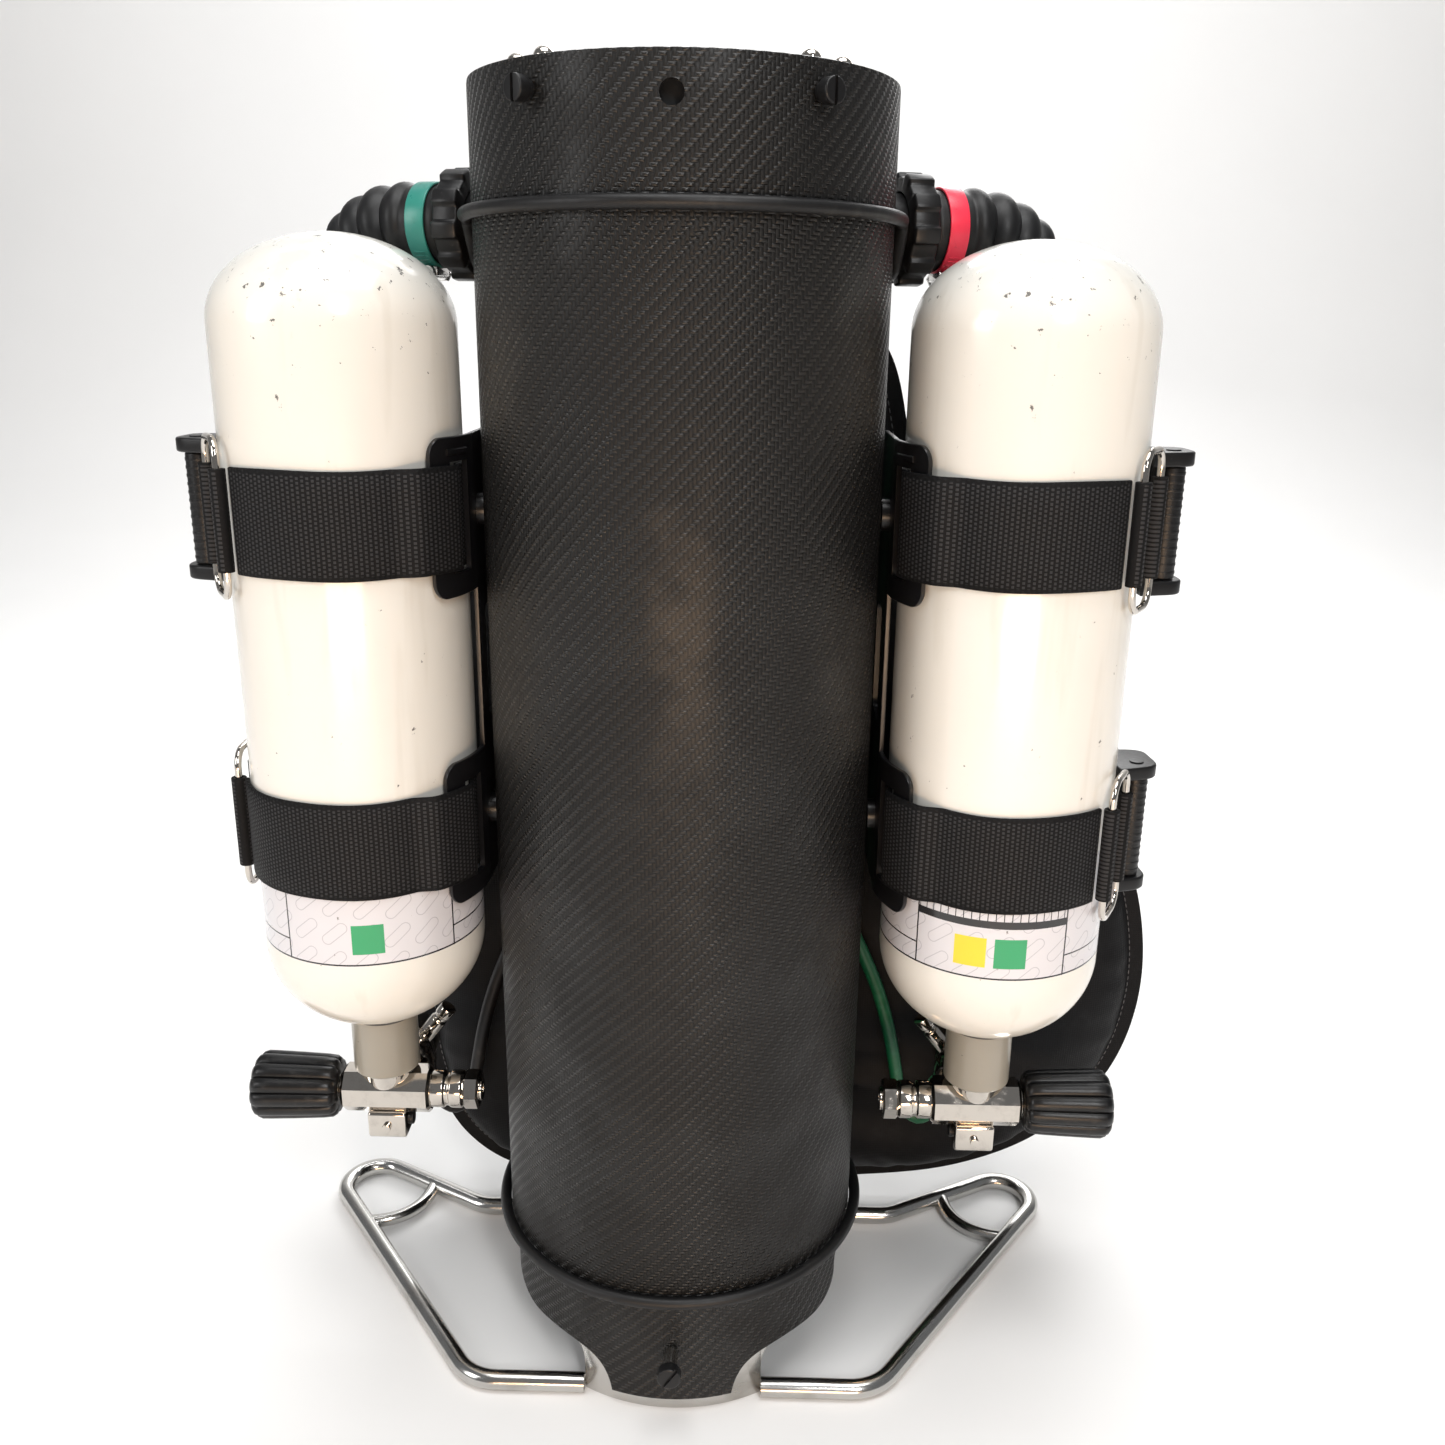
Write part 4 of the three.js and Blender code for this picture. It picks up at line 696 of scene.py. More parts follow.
TUBE_SEAT, SPACER_SEAT = 98.3, 111.3
thumb_screw("foot_screw", 6.0, 0.3, SPACER_SEAT, 0, FOOT_SCREW_HEIGHT, "base_screw")
for side, hand in SIDES:
    thumb_screw(f"head_screw_{side}", 5.3, 3.2, TUBE_SEAT, hand * HEAD_SCREW_AZIMUTH, HEAD_SCREW_HEIGHT,
                f"top_screw_{side}")
spacer = outwards(ring_body(SCREW_HOLE, 4, TUBE_SEAT, SPACER_SEAT, 0.4, 40), 0, FOOT_SCREW_HEIGHT)
dress(piece("foot_spacer", spacer, tube_axis), stainless, "stainless", "base_spacer")


# ---- rubber cords round the tube ----
# Two round rubber cords grip the tube: one under the hose ports, where it dips below them, and one
# above its foot.

CORD_RADIUS, CORD_CIRCLE = 3.1, 101.4
HEAD_CORD_HEIGHT, FOOT_CORD_HEIGHT, PORT_DIP = 601, 73.5, 22.2


def tube_ring(height):
    azimuths = np.linspace(0, 360, 240, endpoint=False)
    return [(CORD_CIRCLE * math.sin(math.radians(a)), -CORD_CIRCLE * math.cos(math.radians(a)), height(a))
            for a in azimuths]


def dipped(azimuth):
    away = abs(abs((azimuth + 180) % 360 - 180) - PORT_AZIMUTH)
    share = min(max((20 - away) / 15, 0), 1)
    return HEAD_CORD_HEIGHT - PORT_DIP * share * share * (3 - 2 * share)


for name, height, node in (("head_cord", dipped, "upper_rubber_ring"),
                           ("foot_cord", lambda azimuth: FOOT_CORD_HEIGHT, "lower_rubber_ring")):
    cord = piece(name, swept(tube_ring(height), CORD_RADIUS, 20, loop=True), tube_axis, crease=60)
    dress(cord, rubber, "rubber", node)


# ---- breathing head ----
# A turned black lid with a dished top, held down by chromed dome nuts. A port on each side takes a
# breathing hose, under a lobed nut and a coloured worm-drive clamp.

head_form = lathe([
    (0, 580.5), (76, 580.5), (88, 592.5), (88, 606), (86.6, 607), (86.6, 610), (88, 611), (88, 652.5),
    (60, 652.5), (56, 646.5), (22, 646.5), (22, 649.5), (0, 649.5),
], 1.4, 3, 144)
for angle in range(0, 360, 30):
    rib = block((24, 57), (-1.6, 1.6), (646, 650), 0.6)
    head_form += rib.turn(angle, "Z")
for azimuth in (PORT_AZIMUTH, -PORT_AZIMUTH):
    port = lathe([(0, 76), (16.5, 76), (16.5, 107), (15.6, 108), (15.6, 118), (16.5, 119), (16.5, 121),
                  (0, 121)], 0.5, 2, 48)
    head_form += outwards(port, azimuth, PORT_HEIGHT)
dress(piece("breathing_head", head_form, tube_axis), moulded, "black_plastic", "head")


def mirror_chrome(tone):
    # Both chrome tones are warm: a painted reflection of a warm floor. The darker, rougher tone marks
    # smudges.
    smudge = tone.noise(120, 5, 0.7).between(0.45, 0.8)
    return {
        "Base Color": smudge.mix((0.63, 0.585, 0.53, 1), (0.47, 0.43, 0.39, 1)),
        "Roughness": smudge * 0.22 + 0.05,
        "Normal": tone.noise(160, 2).bump(0.0001, 0.12),
    }


chrome = finish("mirror_chrome", mirror_chrome, Metallic=1.0)


def prism(flats, sides, bottom, top, edge=0.4):
    """A bar with flat sides, measured across them, with chamfered ends."""
    reach = flats / 2 / math.cos(math.pi / sides)
    rings = []
    for z, back in ((bottom, edge), (bottom + edge, 0), (top - edge, 0), (top, edge)):
        rings.append([((reach - back) * math.cos(a), (reach - back) * math.sin(a), z)
                      for a in full_turn(sides) + math.pi / sides])
    return loft(rings)


DOME_RADIUS = 4.62
dome_profile = [(0, 5.5)] + [(DOME_RADIUS * math.cos(a), 6 + DOME_RADIUS * math.sin(a))
                             for a in np.linspace(0, math.pi / 2, 12)]
nut_places = [(side, azimuth) for side in (-1, 1) for azimuth in (42, 57)]
for number, (side, azimuth) in enumerate(nut_places, 1):
    turn = math.radians(side * azimuth)
    nut = prism(11, 6, 0, 6) + turned(dome_profile, 40)
    nut = nut.move(82 * math.sin(turn), -82 * math.cos(turn), 652.8)
    dress(piece(f"lid_nut_{number}", nut, tube_axis), chrome, "chrome", f"dome_nut_{number}")


def port_nut():
    """A lobed plastic ring nut: ten rounded lugs round a plain bore."""
    outline = [((26.4 - 2.3 * np.clip(0.5 - 1.7 * math.sin(10 * a), 0, 1)) * math.cos(a),
                (26.4 - 2.3 * np.clip(0.5 - 1.7 * math.sin(10 * a), 0, 1)) * math.sin(a))
               for a in full_turn(240)]
    bore = [(17.15 * math.cos(a), 17.15 * math.sin(a)) for a in full_turn(240)]
    rings = []
    for z, back in ((106, 1.2), (106.4, 0.4), (107.2, 0), (118.3, 0), (119.1, 0.4), (119.5, 1.2)):
        rings.append(np.c_[inset(outline, back), np.full(240, z)])
    for z, back in ((119.5, -0.5), (119, 0), (106.5, 0), (106, -0.5)):
        rings.append(np.c_[inset(bore, back), np.full(240, z)])
    return loft(rings, loop=True)


def clamp_lacquer(light, dark):
    def lacquer(tone):
        rub = tone.noise(200, 4, 0.7).between(0.55, 0.75)
        return {"Base Color": rub.mix(light, dark), "Roughness": tone.noise(400, 2) * 0.2 + 0.22,
                "Normal": tone.noise(900, 2).bump(0.00006, 0.4)}
    return lacquer


NUT_MIDDLE = 112.75
red_lacquer = finish("red_clamp", clamp_lacquer((0.80, 0.035, 0.075, 1), (0.62, 0.02, 0.05, 1)))
teal_lacquer = finish("teal_clamp", clamp_lacquer((0.028, 0.215, 0.175, 1), (0.02, 0.15, 0.12, 1)))
clamp_band = ring_body(18.9, 20.15, 126.5, 136.5, 0.5, 72)
for step in range(-7, 8):
    clamp_band += block((19.9, 20.45), (-0.5, 0.5), (128.5, 134.5), 0.2).turn(step * 7, "Z")
worm_case = block((18.9, 24), (-6.2, 6.2), (127.2, 135.8), 1.0)
worm = plain_bar(3.3, -8.6, 8.6, 24).turn(90, "X").move(x=22.4, z=131.5)
worm += prism(7.2, 6, -9.4, -7.0).turn(90, "X").move(x=22.4, z=131.5)
lacquers = {1: (red_lacquer, "red_clamp"), -1: (teal_lacquer, "teal_clamp")}
for side, hand in SIDES:
    nut_form = at_port(port_nut(), hand)
    band_form = at_port(clamp_band.turn(270, "Z"), hand)
    worm_form = at_port((worm_case + worm).turn(270, "Z"), hand)
    centre = port_direction * NUT_MIDDLE * (hand, 1, 1) + (0, 0, PORT_HEIGHT)
    place = tube_axis + Vector(centre) * MM
    lobed = piece(f"lobed_nut_{side}", nut_form.move(*-centre), place, f"nut_{side}", crease=40)
    dress(lobed, moulded, "black_plastic", f"hose_nut_{side}")
    dress(piece(f"clamp_band_{side}", band_form, tube_axis), *lacquers[hand], f"hose_clamp_{side}")
    dress(piece(f"clamp_worm_{side}", worm_form, tube_axis), stainless, "stainless")


# ---- inside the tube ----
# The scrubber canister hangs from the head with its packed cartridge, an oxygen cell and a solenoid
# valve. The counterlung, a coated fabric bag, fills the tube below it.

def pale_plastic(tone):
    return {"Base Color": tone.noise(60, 4).mix((0.66, 0.66, 0.63, 1), (0.74, 0.74, 0.71, 1)),
            "Roughness": tone.noise(300, 2) * 0.2 + 0.35,
            "Normal": tone.noise(700, 2).bump(0.0001, 0.3)}


def packed_granules(tone):
    place = tone.node("ShaderNodeTexCoord", output=3)
    grain = tone.node("ShaderNodeTexVoronoi", {}, {"Vector": place, "Scale": 320.0})
    return {"Base Color": grain.mix((0.74, 0.72, 0.66, 1), (0.5, 0.48, 0.44, 1)), "Roughness": 0.9,
            "Normal": grain.bump(0.0008, 0.8)}


def bag_cloth(tone):
    x, y, z = tone.places()
    weave = (z * 5200).math("SINE") * (x.math("ARCTAN2", y) * 520).math("SINE")
    return {"Base Color": tone.noise(40, 4).mix((0.035, 0.05, 0.09, 1), (0.05, 0.07, 0.12, 1)),
            "Roughness": 0.62, "Normal": weave.bump(0.0001, 0.4)}


inner_finishes = {
    "scrubber_canister": (finish("canister_plastic", pale_plastic), "canister_plastic"),
    "absorbent_cartridge": (finish("packed_absorbent", packed_granules), "absorbent"),
    "oxygen_sensor": (moulded, "black_plastic"),
    "solenoid_valve": (moulded, "black_plastic"),
}
for node, (material, slot) in inner_finishes.items():
    dress(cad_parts[node], material, slot)

bag_rings = []
for height in np.linspace(0, 1, 60):
    bulge = (max(0.0, 1 - (2 * height - 1) ** 6)) ** 0.5
    z = 112.4 + 217 * height
    ring = []
    for a in full_turn(120):
        pucker = 1.6 * math.sin(7 * a + 3 * height) * math.sin(math.pi * height)
        pucker += 1.2 * math.sin(17 * a) * (1 - bulge)
        radius = 20 + 64 * bulge + pucker
        ring.append((radius * math.cos(a), radius * math.sin(a), z))
    bag_rings.append(ring)
bag = piece("counterlung_bag", loft(bag_rings), tube_axis, crease=60)
dress(bag, finish("bag_cloth", bag_cloth), "bag_fabric", "counterlung")


# ---- gas cylinders ----
# Two small steel cylinders, painted glossy cream white over a greyer neck, hang with their valves
# down. A printed band with square colour patches and no lettering runs round each below its strap.

CYLINDER_RADIUS = 57.5
CYLINDER_AXIS = (165.5, -10)
WALL_BOTTOM, WALL_TOP = 238.0, 553.0
BOWL_HEIGHT, DOME_HEIGHT, NECK_RADIUS, NECK_BOTTOM = 50.0, 41.0, 18.0, 154.0
PATCH_HEIGHT, PATCH_HALF = 258.5, 8.0
YELLOW, GREEN = (0.75, 0.62, 0.03, 1), (0.03, 0.33, 0.13, 1)


def cylinder_place(hand, height=0.0):
    return tube_axis + Vector((hand * CYLINDER_AXIS[0], CYLINDER_AXIS[1], height)) * MM


def both(first, second):
    return first.math("MULTIPLY", second)


def painted_steel(patches, panel, ruled):
    """Paint with its printed band. Patches are (arc, colour); panel is the arcs of its two lines."""
    def paint(tone):
        x, y, z = tone.places()
        arc = x.math("ARCTAN2", y * -1) * CYLINDER_RADIUS
        up = z * 1000
        cloudy = tone.noise(9, 4)
        shade = cloudy.mix((0.81, 0.795, 0.745, 1), (0.755, 0.735, 0.675, 1))
        # Towards the neck the bowl is painted beige: a painted reflection of a warm brown floor.
        lower = 1 - up.between(150, 236)
        shade = (lower * 0.75).mix(shade, (0.56, 0.49, 0.39, 1))
        neck = 1 - up.between(187.5, 189.5)
        shade = neck.mix(shade, (0.30, 0.28, 0.235, 1))
        drips = tone.noise(60, 3, stretch=(1, 1, 0.12)).between(0.56, 0.7)
        shade = (drips * 0.13).mix(shade, (0.42, 0.37, 0.27, 1))

        band = both(up > 244, up < 306)
        shade = band.mix(shade, (0.66, 0.655, 0.69, 1))
        slant = math.radians(40)
        along = arc * math.cos(slant) + up * math.sin(slant)
        over = up * math.cos(slant) - arc * math.sin(slant)
        row = (over / 11).math("FLOOR")
        across = abs((along + row * 11) % 22 - 11)
        aside = abs(over % 11 - 5.5)
        reach = across.math("SUBTRACT", 5.0).math("MAXIMUM", 0.0)
        away = both(reach, reach).math("ADD", both(aside, aside)).math("SQRT")
        oblong = both(away > 2.5, away < 2.95)
        shade = (both(oblong, band) * 0.42).mix(shade, (0.2, 0.2, 0.25, 1))
        lines = abs(arc - panel[0]) < 0.45
        lines = lines.math("MAXIMUM", abs(arc - panel[1]) < 0.45)
        outside = (arc < panel[0]).math("MAXIMUM", arc > panel[1])
        lines = lines.math("MAXIMUM", both(outside, abs(up - 255) < 0.4))
        lines = lines.math("MAXIMUM", abs(up - 244.6) < 0.45)
        if ruled:
            strip = both(abs(up - 274) < 2.0, 1 - outside)
            ticks = both(both(up > 276, up < 281), ((arc + 100) % 4) < 0.5)
            lines = lines.math("MAXIMUM", strip).math("MAXIMUM", both(ticks, 1 - outside))
        shade = both(lines, band).mix(shade, (0.02, 0.02, 0.022, 1))
        for place, colour in patches:
            patch = both(abs(arc - place) < PATCH_HALF, abs(up - PATCH_HEIGHT) < PATCH_HALF)
            shade = patch.mix(shade, colour)

        seam = abs(up - 188.2) < 0.5
        shade = seam.mix(shade, (0.03, 0.028, 0.025, 1))
        knocks = up.between(500, 580) * 0.055 + up.between(560, 596) * 0.03
        chips = (tone.noise(170, 5, 0.7) + knocks).between(0.695, 0.71)
        rub = (tone.noise(60, 5, 0.75, stretch=(1, 1, 0.4)) + knocks).between(0.68, 0.76)
        shade = (rub * 0.35).mix(shade, (0.36, 0.35, 0.32, 1))
        shade = chips.mix(shade, (0.13, 0.125, 0.115, 1))
        return {
            "Base Color": shade,
            "Roughness": 0.17 + neck * 0.2 + rub * 0.2 + chips * 0.35 + tone.noise(40, 3) * 0.08,
            "Normal": (chips * -1).bump(0.0003, 0.4, tone.noise(170, 2).bump(0.00012, 0.18)),
            "Coat Weight": 0.35 - chips * 0.3,
        }
    return paint


turns = np.linspace(0, math.pi / 2, 22)
neck_turn = math.asin((NECK_RADIUS + 1.5) / CYLINDER_RADIUS)
shell_profile = eased([(0, NECK_BOTTOM), (NECK_RADIUS, NECK_BOTTOM), (NECK_RADIUS, 186)], 1.2, 3, loop=False)
shell_profile += [(NECK_RADIUS + 0.4, 187.8), (NECK_RADIUS + 0.2, 188.4)]
shell_profile += [(CYLINDER_RADIUS * math.sin(t), WALL_BOTTOM - BOWL_HEIGHT * math.cos(t))
                  for t in np.linspace(neck_turn, math.pi / 2, 22)]
shell_profile += [(CYLINDER_RADIUS, z) for z in np.linspace(WALL_BOTTOM + 8, WALL_TOP, 24)]
shell_profile += [(CYLINDER_RADIUS * math.cos(t), WALL_TOP + DOME_HEIGHT * math.sin(t)) for t in turns[1:-1]]
shell_profile += [(0, WALL_TOP + DOME_HEIGHT)]
shell = turned(shell_profile, 160)
paints = {
    1: painted_steel([(-19.5, YELLOW), (0.5, GREEN)], (-48.8, 30.2), True),
    -1: painted_steel([(12, GREEN)], (-31.7, 58.4), False),
}
for side, hand in SIDES:
    cylinder = piece(f"steel_cylinder_{side}", shell, cylinder_place(hand), crease=50)
    coat = finish(f"cream_paint_{side}", paints[hand], Coat_Roughness=0.08)
    dress(cylinder, coat, "white_paint", f"cylinder_{side}")


# ---- valves and handwheels ----
# A chromed valve screws into each neck. Its octagonal bar has a fat ribbed rubber handwheel on the
# outer side, a hexagonal plug on the inner side and a square boss with a burst disc below.

VALVE_HEIGHT = 138.0

valve = prism(25, 8, -25, 25, 1.6).turn(90, "Y")
valve += lathe([(0, -44), (8.6, -44), (10.5, -42), (10.5, -36), (9.4, -35), (9.4, -33), (10.5, -32),
                (10.5, -24), (0, -24)], 0.5, 2, 48).turn(90, "Y")
valve += prism(19, 6, -52, -43, 1.2).turn(90, "Y")
valve += ring_body(2.8, 6.2, -53.4, -51.8, 0.4, 32).turn(90, "Y")
valve += lathe([(0, 24), (9.5, 24), (9.5, 26), (7.2, 27), (7.2, 28.2), (4, 28.6), (4, 36.5),
                (0, 36.5)], 0.5, 2, 40).turn(90, "Y")
valve += lathe([(0, 0), (12.2, 0), (12.2, 12.8), (14.5, 13.6), (14.5, 15.6), (0, 15.6)], 0.5, 2, 56)
valve += block((-11, 11), (-10, 10), (-26.8, -11), 1.8)
valve += round_bar(6.2, -27.6, -26, 0.5, 32)
valve += round_bar(10.5, 0, 19.4, 0.6, 48).turn(-90, "X")
pin = round_bar(2.5, 9.5, 12.6, 0.5, 24).turn(90, "X").move(z=-19.5)
cap = round_bar(3.75, 10.5, 13.2, 0.8, 24).turn(-90, "Y").move(z=-19.5)
for side, hand in SIDES:
    place = cylinder_place(hand, VALVE_HEIGHT)
    dress(piece(f"chromed_valve_{side}", (valve + pin).on(hand), place),
          chrome, "chrome", f"valve_body_{side}")
    dress(piece(f"burst_cap_{side}", cap.on(hand), place), moulded, "black_plastic")


def wheel_rubber(tone):
    dust = tone.noise(150, 5, 0.7).between(0.5, 0.75)
    return {"Base Color": dust.mix((0.004, 0.004, 0.0045, 1), (0.02, 0.0195, 0.019, 1)),
            "Roughness": 0.34 + dust * 0.22, "Normal": tone.noise(900, 3).bump(0.00008, 0.5)}


grip = finish("wheel_rubber", wheel_rubber, Specular_IOR_Level=0.4)
wheel_rings = []
for z, back in ((27.4, 6.5), (27.6, 4.2), (28.6, 2.6), (30.5, 1.6), (36, 1.1), (50, 0.6), (64, 0.2),
                (70, 0.1), (72.6, 0.8), (74.4, 2.4), (75.2, 4.4), (75.5, 7)):
    ribs = np.abs(np.cos(6 * full_turn(288))) ** 0.55
    depth = 2.5 * np.clip((15 - back * 2) / 15, 0, 1)
    radii = 16.6 - back + depth * ribs
    wheel_rings.append([(r * math.cos(a), r * math.sin(a), z)
                        for r, a in zip(radii, full_turn(288))])
wheel = (loft(wheel_rings) + ring_body(6, 7.5, 75, 76, 0.3, 40)).turn(90, "Y")
for side, hand in SIDES:
    place = cylinder_place(hand, VALVE_HEIGHT)
    fluted = piece(f"fluted_wheel_{side}", wheel.on(hand), place, f"handwheel_{side}",
                   crease=50)
    dress(fluted, grip, "rubber", f"handwheel_{side}")


# ---- first stages and gas hoses ----
# A chromed pressure reducer screws into the back of each valve by a scalloped wheel. A thin hose
# drops from it, loops up beside the tube and enters it near the top.

scallops = full_turn(240)
knob_rings = []
for z, back in ((20, 1.4), (21, 0.3), (22, 0), (30, 0), (31, 0.3), (32, 1.4)):
    radii = 19 - back - 1.3 * np.clip(np.cos(12 * scallops), 0, 1) ** 2
    knob_rings.append([(r * math.cos(a), r * math.sin(a), z) for r, a in zip(radii, scallops)])
reducer = loft(knob_rings) + lathe([
    (0, 31), (14.5, 31), (16, 32.5), (16, 38), (15, 39), (15, 40.5), (16, 41.5), (16, 56), (14.8, 57),
    (14.8, 61), (12.5, 64), (0, 64),
], 0.6, 3, 64)
reducer = reducer.turn(-90, "X")
reducer += lathe([(0, 2), (5, 2), (5, 26), (4.2, 27), (4.2, 29), (5, 30), (5, 36), (0, 36)],
                 0.5, 2, 32).turn(-38, "Y").move(-4, 41, 0)
reducer += lathe([(0, -19), (5.5, -19), (5.5, 0), (0, 0)], 0.6, 2, 32).move(-7.5, 56, 0)


def green_hose_rubber(tone):
    dust = tone.noise(140, 4).between(0.5, 0.75)
    return {"Base Color": dust.mix((0.004, 0.10, 0.042, 1), (0.015, 0.14, 0.07, 1)),
            "Roughness": tone.noise(300, 3) * 0.2 + 0.32, "Normal": tone.noise(1500, 2).bump(0.00005, 0.4)}


green_rubber = finish("green_hose_rubber", green_hose_rubber)
GAS_HOSE_RADIUS = 4.0
hose_loop = [(158, 46, 118), (157.5, 48, 104), (153, 52, 90), (145, 56, 82), (137, 58, 87),
             (132.5, 58, 100), (129.5, 58, 116), (126, 58, 134), (121, 58, 154), (114.5, 58, 174),
             (107, 57.5, 192), (99, 57, 210), (92.5, 57, 230), (89.2, 57, 254), (88.5, 57, 280)]
beside_tube = np.array((88.5, 57, 0))
inward = -beside_tube / np.linalg.norm(beside_tube)
hose_rise = hose_loop + [beside_tube + (0, 0, z) for z in (360, 436, 512)]
hose_rise += [hose_rise[-1] + inward * 24 * (1 - math.cos(t)) + np.array((0, 0, 24 * math.sin(t)))
              for t in np.linspace(0, math.pi / 2, 6)[1:]]
gas_line = through(hose_rise, 3.0)
for side, hand, material, slot, node in (("right", 1, green_rubber, "green_rubber", "oxygen_hose"),
                                         ("left", -1, rubber, "rubber", "diluent_hose")):
    place = cylinder_place(hand, VALVE_HEIGHT)
    stage = piece(f"pressure_reducer_{side}", reducer.on(hand), place)
    dress(stage, chrome, "chrome", f"first_stage_{side}")
    line = gas_line * (hand, 1, 1)
    gas_hose = dress(piece(f"gas_hose_{side}", swept(line, GAS_HOSE_RADIUS, 24), tube_axis, crease=60),
                     material, slot, node)
    ferrule = swept(line[:6], np.array((4.9, 5.2, 5.2, 5.2, 5.2, 4.6)), 24)
    crimp = dress(piece(f"hose_ferrule_{side}", ferrule, tube_axis), stainless, "stainless")
    route = [tube_axis + Vector(point) * MM for point in line]


# ---- brackets ----
# Two curved ears of folded black sheet reach round each cylinder from a plate beside the tube. The
# straps pass through their slots, and short bosses hold the plate off the tube.

EAR_INNER, EAR_OUTER, EAR_HALF = 60.6, 63.1, 38.0
EAR_END, EAR_START, EAR_CORNER = -54.0, -93.0, 8.0
STRAP_HEIGHTS = {"upper": 465.0, "lower": 306.0}


def wrapped(inner, outer, azimuths, bottoms, tops, edge=0.5):
    """A strip bent round +Z between two radii, with eased edges; each azimuth has its own height."""
    count = len(azimuths)
    inner, outer = np.broadcast_to(inner, count), np.broadcast_to(outer, count)
    bottoms, tops = np.broadcast_to(bottoms, count), np.broadcast_to(tops, count)
    rings = []
    for near, far, azimuth, low, high in zip(inner, outer, azimuths, bottoms, tops):
        a = math.radians(azimuth)
        section = [(near + edge, low), (far - edge, low), (far, low + edge)]
        section += [(far, low + (high - low) * t) for t in (0.25, 0.5, 0.75)]
        section += [(far, high - edge), (far - edge, high), (near + edge, high), (near, high - edge)]
        section += [(near, low + (high - low) * t) for t in (0.75, 0.5, 0.25)] + [(near, low + edge)]
        rings.append([(r * math.sin(a), -r * math.cos(a), z) for r, z in section])
    return loft(rings)


def standing(form):
    """Stands a flat form up: its outline's first axis becomes y, its second z, its thickness x."""
    return Form(form.points[:, (2, 0, 1)], form.faces)


def black_sheet(tone):
    worn = tone.noise(140, 5, 0.7).between(0.66, 0.76)
    return {"Base Color": worn.mix((0.006, 0.006, 0.007, 1), (0.035, 0.035, 0.036, 1)),
            "Roughness": tone.noise(260, 3) * 0.14 + 0.24 + worn * 0.2,
            "Normal": tone.noise(800, 2).bump(0.00007, 0.35)}


lacquered = finish("black_lacquered_sheet", black_sheet, Specular_IOR_Level=0.45)

corner_steps = EAR_CORNER * (1 - np.cos(np.linspace(0, math.pi / 2, 9)))
ear_azimuths = [EAR_END - math.degrees(s / EAR_OUTER) for s in corner_steps]
ear_azimuths += list(np.linspace(ear_azimuths[-1], EAR_START, 22)[1:])
ear_halves = []
for azimuth in ear_azimuths:
    short = max(0.0, EAR_CORNER - math.radians(EAR_END - azimuth) * EAR_OUTER)
    ear_halves.append(EAR_HALF - EAR_CORNER + math.sqrt(max(0.0, EAR_CORNER ** 2 - short ** 2)))
ear_halves = np.array(ear_halves)
ear = wrapped(EAR_INNER, EAR_OUTER, ear_azimuths, -ear_halves, ear_halves, 0.4)
slot_cut = wrapped(50, 80, np.linspace(-81, -66, 12), -26.5, 26.5, 0.1)
side_outline = eased([(0, 268), (58, 268), (58, 503), (0, 503)], 6, 4)
side_plate = standing(slab(side_outline, -EAR_OUTER, -EAR_INNER, 0.4))
side_window = standing(slab(eased([(14, 356), (44, 356), (44, 415), (14, 415)], 5, 4), -80, -50, 0.1))
boss = round_bar(8, -67.3, -62, 0.4, 40).turn(90, "Y").move(y=10)
rib = wrapped(EAR_OUTER - 0.5, EAR_OUTER + 0.9, np.linspace(-64, -80, 10), 29.5, 32.5, 0.5)
for side, hand in SIDES:
    place = cylinder_place(hand)
    plate = piece(f"bracket_plate_{side}", side_plate.on(hand), place)
    cut_away(plate, side_window.on(hand))
    dress(plate, lacquered, "black_sheet", f"bracket_{side}")
    for level, height in STRAP_HEIGHTS.items():
        curved = piece(f"bracket_ear_{level}_{side}", ear.on(hand),
                       cylinder_place(hand, height))
        cut_away(curved, slot_cut.on(hand))
        dress(curved, lacquered, "black_sheet")
        detail = rib + boss if level == "upper" else boss
        dress(piece(f"bracket_boss_{level}_{side}", detail.on(hand),
                    cylinder_place(hand, height)), lacquered, "black_sheet")


# ---- straps ----
# Black webbing 50 mm wide, with rows of pale dashes painted on its weave as glints, is drawn tight round
# each cylinder and climbs over the bracket's ears before it drops through their slots.

BUCKLE_TURNS = {"upper_left": 0, "upper_right": 0, "lower_left": 27, "lower_right": 3}
STRAP_END, STRAP_TAIL, STRAP_THICKNESS, STRAP_LOW, STRAP_CLIMB = 42, -231, 2.2, 58.9, 5.9
COLUMN_PITCH, DASH_PITCH = 2.4, 2.1


def smooth_step(value, low, high):
    share = min(max((value - low) / (high - low), 0), 1)
    return share * share * (3 - 2 * share)


def strap_radius(azimuth):
    return STRAP_LOW + STRAP_CLIMB * (smooth_step(-36 - azimuth, 0, 12) - smooth_step(-68 - azimuth, 0, 10))


def woven(column, dash, strength):
    def webbing(tone):
        x, y, z = tone.places()
        arc = x.math("ARCTAN2", y * -1) * 61.0
        up = z * 1000
        columns = arc / column
        odd = columns.math("FLOOR") % 2
        in_column = columns % 1
        in_dash = (up / dash + odd * 0.5 + tone.noise(300, 2) * 0.2) % 1
        # The pale dashes are a painted glint: a lighter colour where the ribs of the weave would catch the
        # light.
        dash_glint = both(abs(in_column - 0.5) < 0.27, abs(in_dash - 0.5) < 0.3)
        rope = abs(in_column - 0.5) * -2 + 1
        rung = abs(in_dash - 0.5) * -2 + 1
        selvedge = abs(up).between(22.6, 23.2)
        fluff = tone.noise(700, 3).between(0.5, 0.8)
        shade = (dash_glint * (1 - selvedge) * strength).mix((0.003, 0.003, 0.0033, 1), (0.035, 0.035, 0.037, 1))
        shade = (fluff * 0.2).mix(shade, (0.025, 0.0245, 0.024, 1))
        return {"Base Color": shade, "Roughness": 0.72 - dash_glint * 0.12,
                "Normal": (both(rope, rung) + fluff * 0.2).bump(0.00035, 0.75)}
    return webbing


